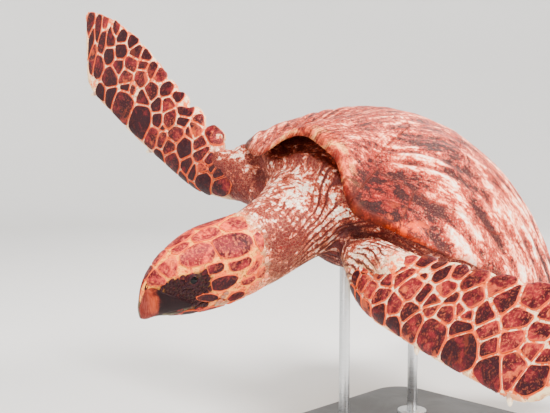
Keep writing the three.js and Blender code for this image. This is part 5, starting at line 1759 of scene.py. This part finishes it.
nostrils = Plates()
turns = round_turns(NOSTRIL_STEPS)
unit = np.column_stack([np.cos(turns) * 2.3, np.sin(turns) * 1.7])
shares, lifts, tones = np.repeat(NOSTRIL_RINGS, NOSTRIL_STEPS, axis=0)[:1 - NOSTRIL_STEPS].T
for angle in (66, 114):
    centre = head_sheet.flat(9.6 / (HEAD_LENGTH - 1), math.radians(angle))
    flat = centre + np.resize(unit, (len(shares), 2)) * shares[:, None]
    nostrils.gather(head_sheet, flat, lifts, len(NOSTRIL_RINGS) - 1, tone=tones, rim=1.0, pale=0.0)
nostrils.piece("nostrils")

# ---------------------------------------------------------------------------------------------
# The claws. Two short, blunt horn claws stand on the leading edge of each front flipper and
# one on each hind flipper. They are ivory coloured and lean towards the flipper's tip.
# ---------------------------------------------------------------------------------------------

CLAW_LENGTH, CLAW_RADIUS, CLAW_OUTSIDE, CLAW_LEAN = 15, 4.5, 3, 0.9
FRONT_CLAW_SHARES, HIND_CLAW_SHARE = (0.45, 0.79), 0.7

claw_horn = Finish("claw horn")
claw_mottle = claw_horn.mottle(90.0, 500.0, 1.0)
colour = claw_horn.blend(claw_mottle["Patches"], "#f3e6cb", "#d9b98e")
root_share = claw_horn.stretch(claw_horn.measure("root"), 0.0, 1.0, 0.0, 0.8)
colour = claw_horn.blend(root_share, colour, "#9a5a3c")
claw_horn.join(colour, claw_horn.stretch(claw_mottle["Flecks"], 0.0, 1.0, 0.3, 0.48),
               claw_mottle["Flecks"], 0.3, 0.0004)


def new_claw(name, flipper, share):
    """A blunt curved cone: place on the leading edge, then rings towards the tip."""
    bow = flipper.bow * math.sin(math.pi * share)
    edge = smooth_between(share, flipper.stations)[0] - CLAW_OUTSIDE - bow
    middle = flipper.root + flipper.along * share * flipper.length + flipper.trailing * edge
    pointing = flipper.along * CLAW_LEAN - flipper.trailing
    pointing /= np.linalg.norm(pointing)
    sideways = np.cross(flipper.face, pointing)
    turns, rings, at_root = round_turns(28), [], []
    for part in np.concatenate([np.linspace(0, 0.86, 14), [0.92, 0.965, 0.99]]):
        radius = CLAW_RADIUS * 0.98 * math.sqrt(max(0.0, 1 - part ** 1.7))
        curve = sideways * 1.6 * (part - 0.5) ** 2
        out = middle + pointing * CLAW_LENGTH * (part - 0.5) + curve
        rings.append(out + radius * (np.cos(turns)[:, None] * sideways * 1.05
                                     + np.sin(turns)[:, None] * flipper.face * 0.85))
        at_root.append(np.full(len(turns), 1 - ease(0.25, 0.6, part)))
    points = np.vstack(rings + [rings[0].mean(0), rings[-1].mean(0)])
    piece = new_piece(f"{name}_horn", points, closed_faces(len(rings), len(turns)), claw_horn,
                      {"root": np.concatenate(at_root + [[1.0, 0.0]])})
    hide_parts(name)
    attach(piece, "root")


for side in ("left", "right"):
    for number, share in enumerate(FRONT_CLAW_SHARES):
        new_claw(f"claw_front_{side}_{number + 1}", FLIPPERS[f"front_flipper_{side}"], share)
    new_claw(f"claw_hind_{side}", FLIPPERS[f"hind_flipper_{side}"], HIND_CLAW_SHARE)

# ---------------------------------------------------------------------------------------------
# The display stand. A flat steel base with rounded corners is painted satin black and carries
# two brushed steel rods. Each rod has a foot flange, and a pad that lies under the plastron.
# ---------------------------------------------------------------------------------------------

BASE_LENGTH, BASE_WIDTH, BASE_THICKNESS, BASE_CORNER, BASE_EDGE = 460, 340, 20, 60, 2.5

base_paint = Finish("satin black paint")
base_mottle = base_paint.mottle(12.0, 900.0, 0.8)
base_paint.join(base_paint.blend(base_mottle["Patches"], "#2a2a2c", "#38383a"),
                base_paint.stretch(base_mottle["Patches"], 0.0, 1.0, 0.36, 0.5),
                base_mottle["Flecks"], 0.12, 0.0002)


def base_ring(inset, level):
    """A ring round the base, drawn in from its edge."""
    ring = []
    for corner, (across, ahead) in enumerate(((1, 1), (-1, 1), (-1, -1), (1, -1))):
        for angle in np.linspace(0, math.pi / 2, 17) + corner * math.pi / 2:
            ring.append((across * (BASE_WIDTH / 2 - BASE_CORNER) + (BASE_CORNER - inset) * math.cos(angle),
                         ahead * (BASE_LENGTH / 2 - BASE_CORNER) + (BASE_CORNER - inset) * math.sin(angle),
                         level))
    return np.array(ring)


edge_turns = np.linspace(0, math.pi / 2, 7)
eased = [(BASE_EDGE * (1 - math.sin(turn)), BASE_EDGE * (1 - math.cos(turn))) for turn in edge_turns]
rings = [base_ring(inset, level) for inset, level in eased]
rings += [base_ring(inset, BASE_THICKNESS - drop) for drop, inset in eased]
points = np.vstack(rings + [[0, 0, 0], [0, 0, BASE_THICKNESS]])
faces = closed_faces(len(rings), len(rings[0]))
base = new_piece("base_plate", points * 0.001, faces, base_paint, on_turtle=False)
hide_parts("stand_base")
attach(base, "root")

brushed_steel = Finish("brushed steel", Metallic=1.0)
drawn_out = brushed_steel.scaled(brushed_steel.place, (14.0, 14.0, 900.0))
brushing = brushed_steel.noise(drawn_out, 3.0, 4.0, 0.6)["Fac"]
brushed_steel.join(brushed_steel.blend(brushing, "#b4b7ba", "#cfd1d3"),
                   brushed_steel.stretch(brushing, 0.3, 0.7, 0.24, 0.4), brushing, 0.15, 0.0002)

ROD_RADIUS, FLANGE_RADIUS, FLANGE_THICKNESS = 9, 26, 6
PAD_RADIUS, PAD_THICKNESS, PAD_SINK = 30, 10, 2
STEEL_EDGE = 1.0
RODS = {"front": -70, "rear": 130}


def round_bar(radius, low, high):
    """Rings and faces of an upright round bar with eased edges."""
    profile = [(radius - STEEL_EDGE, low), (radius - 0.3, low + 0.3), (radius, low + STEEL_EDGE),
               (radius, high - STEEL_EDGE), (radius - 0.3, high - 0.3), (radius - STEEL_EDGE, high)]
    turns = round_turns(64)
    points = [(r * math.cos(turn), r * math.sin(turn), level) for r, level in profile for turn in turns]
    points += [(0, 0, low), (0, 0, high)]
    return np.array(points), closed_faces(len(profile), len(turns))


for name, along_shell in RODS.items():
    pad_level = PLASTRON_LEVEL - PAD_THICKNESS / 2 + PAD_SINK
    under_belly = in_place([0, along_shell, pad_level]) * 1000
    upright = under_belly * [1, 1, 0]
    flange_top = BASE_THICKNESS + FLANGE_THICKNESS
    rod_points, bar_faces = round_bar(ROD_RADIUS, BASE_THICKNESS, under_belly[2])
    flange_points, _ = round_bar(FLANGE_RADIUS, BASE_THICKNESS, flange_top)
    pad_points, _ = round_bar(PAD_RADIUS, -PAD_THICKNESS / 2, PAD_THICKNESS / 2)
    points = np.vstack([rod_points + upright, flange_points + upright,
                        pad_points @ TURTLE_TURN.T + under_belly])
    faces = [tuple(corner + bar * len(rod_points) for corner in face)
             for bar in range(3) for face in bar_faces]
    rod = new_piece(f"rod_{name}", points * 0.001, faces, brushed_steel, on_turtle=False)
    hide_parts(f"stand_rod_{name}")
    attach(rod, "root")

# ---------------------------------------------------------------------------------------------
# The studio. A pale floor that curves up into its backdrop, and large soft lights. They are
# not part of the turtle.
# ---------------------------------------------------------------------------------------------

BACKDROP_AWAY, BACKDROP_BEND = 3.2, 1.2

studio_paint = Finish("pale studio")
studio_mottle = studio_paint.mottle(0.9, 6.0, 0.35)
studio_paint.join(studio_paint.blend(studio_mottle["Patches"], "#d9dcdd", "#e2e4e5"),
                  studio_paint.stretch(studio_mottle["Flecks"], 0.0, 1.0, 0.75, 0.85))

turns = round_turns(120)
profile = [(BACKDROP_AWAY * share, 0.0) for share in np.linspace(0.1, 1, 10)]
profile += [(BACKDROP_AWAY + BACKDROP_BEND * math.sin(turn), BACKDROP_BEND * (1 - math.cos(turn)))
            for turn in np.linspace(0.1, math.pi / 2, 12)]
profile += [(BACKDROP_AWAY + BACKDROP_BEND, level) for level in (2.4, 3.6)]
points = [(r * math.cos(turn), r * math.sin(turn), level) for r, level in profile for turn in turns]
faces = [face[::-1] for face in ring_faces(len(profile), len(turns))]
faces += fan_faces(len(points), 0, len(turns), True)
floor = new_piece("floor", points + [(0, 0, 0)], faces, studio_paint, on_turtle=False)

studio = bpy.data.worlds.new("studio")
bpy.context.scene.world = studio
studio.use_nodes = True
background = next(node for node in studio.node_tree.nodes if node.type == "BACKGROUND")
background.inputs["Color"].default_value = (1.0, 0.95, 0.9, 1)
background.inputs["Strength"].default_value = 0.38

# Name, place, size and power of each soft light. All of them are warm and face the turtle.
SOFT_LIGHTS = [
    ("key", (1.1, -1.2, 3.0), 1.2, 225),
    ("side", (-2.2, -1.6, 1.9), 1.8, 24),
    ("behind", (-0.4, 2.2, 2.6), 1.8, 90),
    ("shell", (2.6, 0.9, 2.2), 1.2, 250),
    ("front", (0.5, -2.6, 0.8), 1.4, 19),
]
for name, spot, size, power in SOFT_LIGHTS:
    lamp = bpy.data.lights.new(name, "AREA")
    lamp.shape = "DISK"
    lamp.size = size
    lamp.energy = power
    lamp.color = (1.0, 0.93, 0.87)
    light = bpy.data.objects.new(name, lamp)
    light.location = spot
    light.rotation_euler = (Vector((0, 0, 0.4)) - Vector(spot)).to_track_quat("-Z", "Y").to_euler()
    bpy.context.scene.collection.objects.link(light)

CAMERA_PLACE = (1.0598, -1.347, 0.5861)
CAMERA_AZIMUTH, CAMERA_ELEVATION = math.radians(45), math.radians(6)
CAMERA_LENS = 65.9

camera_data = bpy.data.cameras.new("camera")
camera_data.lens = CAMERA_LENS
camera = bpy.data.objects.new("camera", camera_data)
camera.location = CAMERA_PLACE
camera.rotation_euler = (math.pi / 2 - CAMERA_ELEVATION, 0, CAMERA_AZIMUTH)
bpy.context.scene.collection.objects.link(camera)
bpy.context.scene.camera = camera
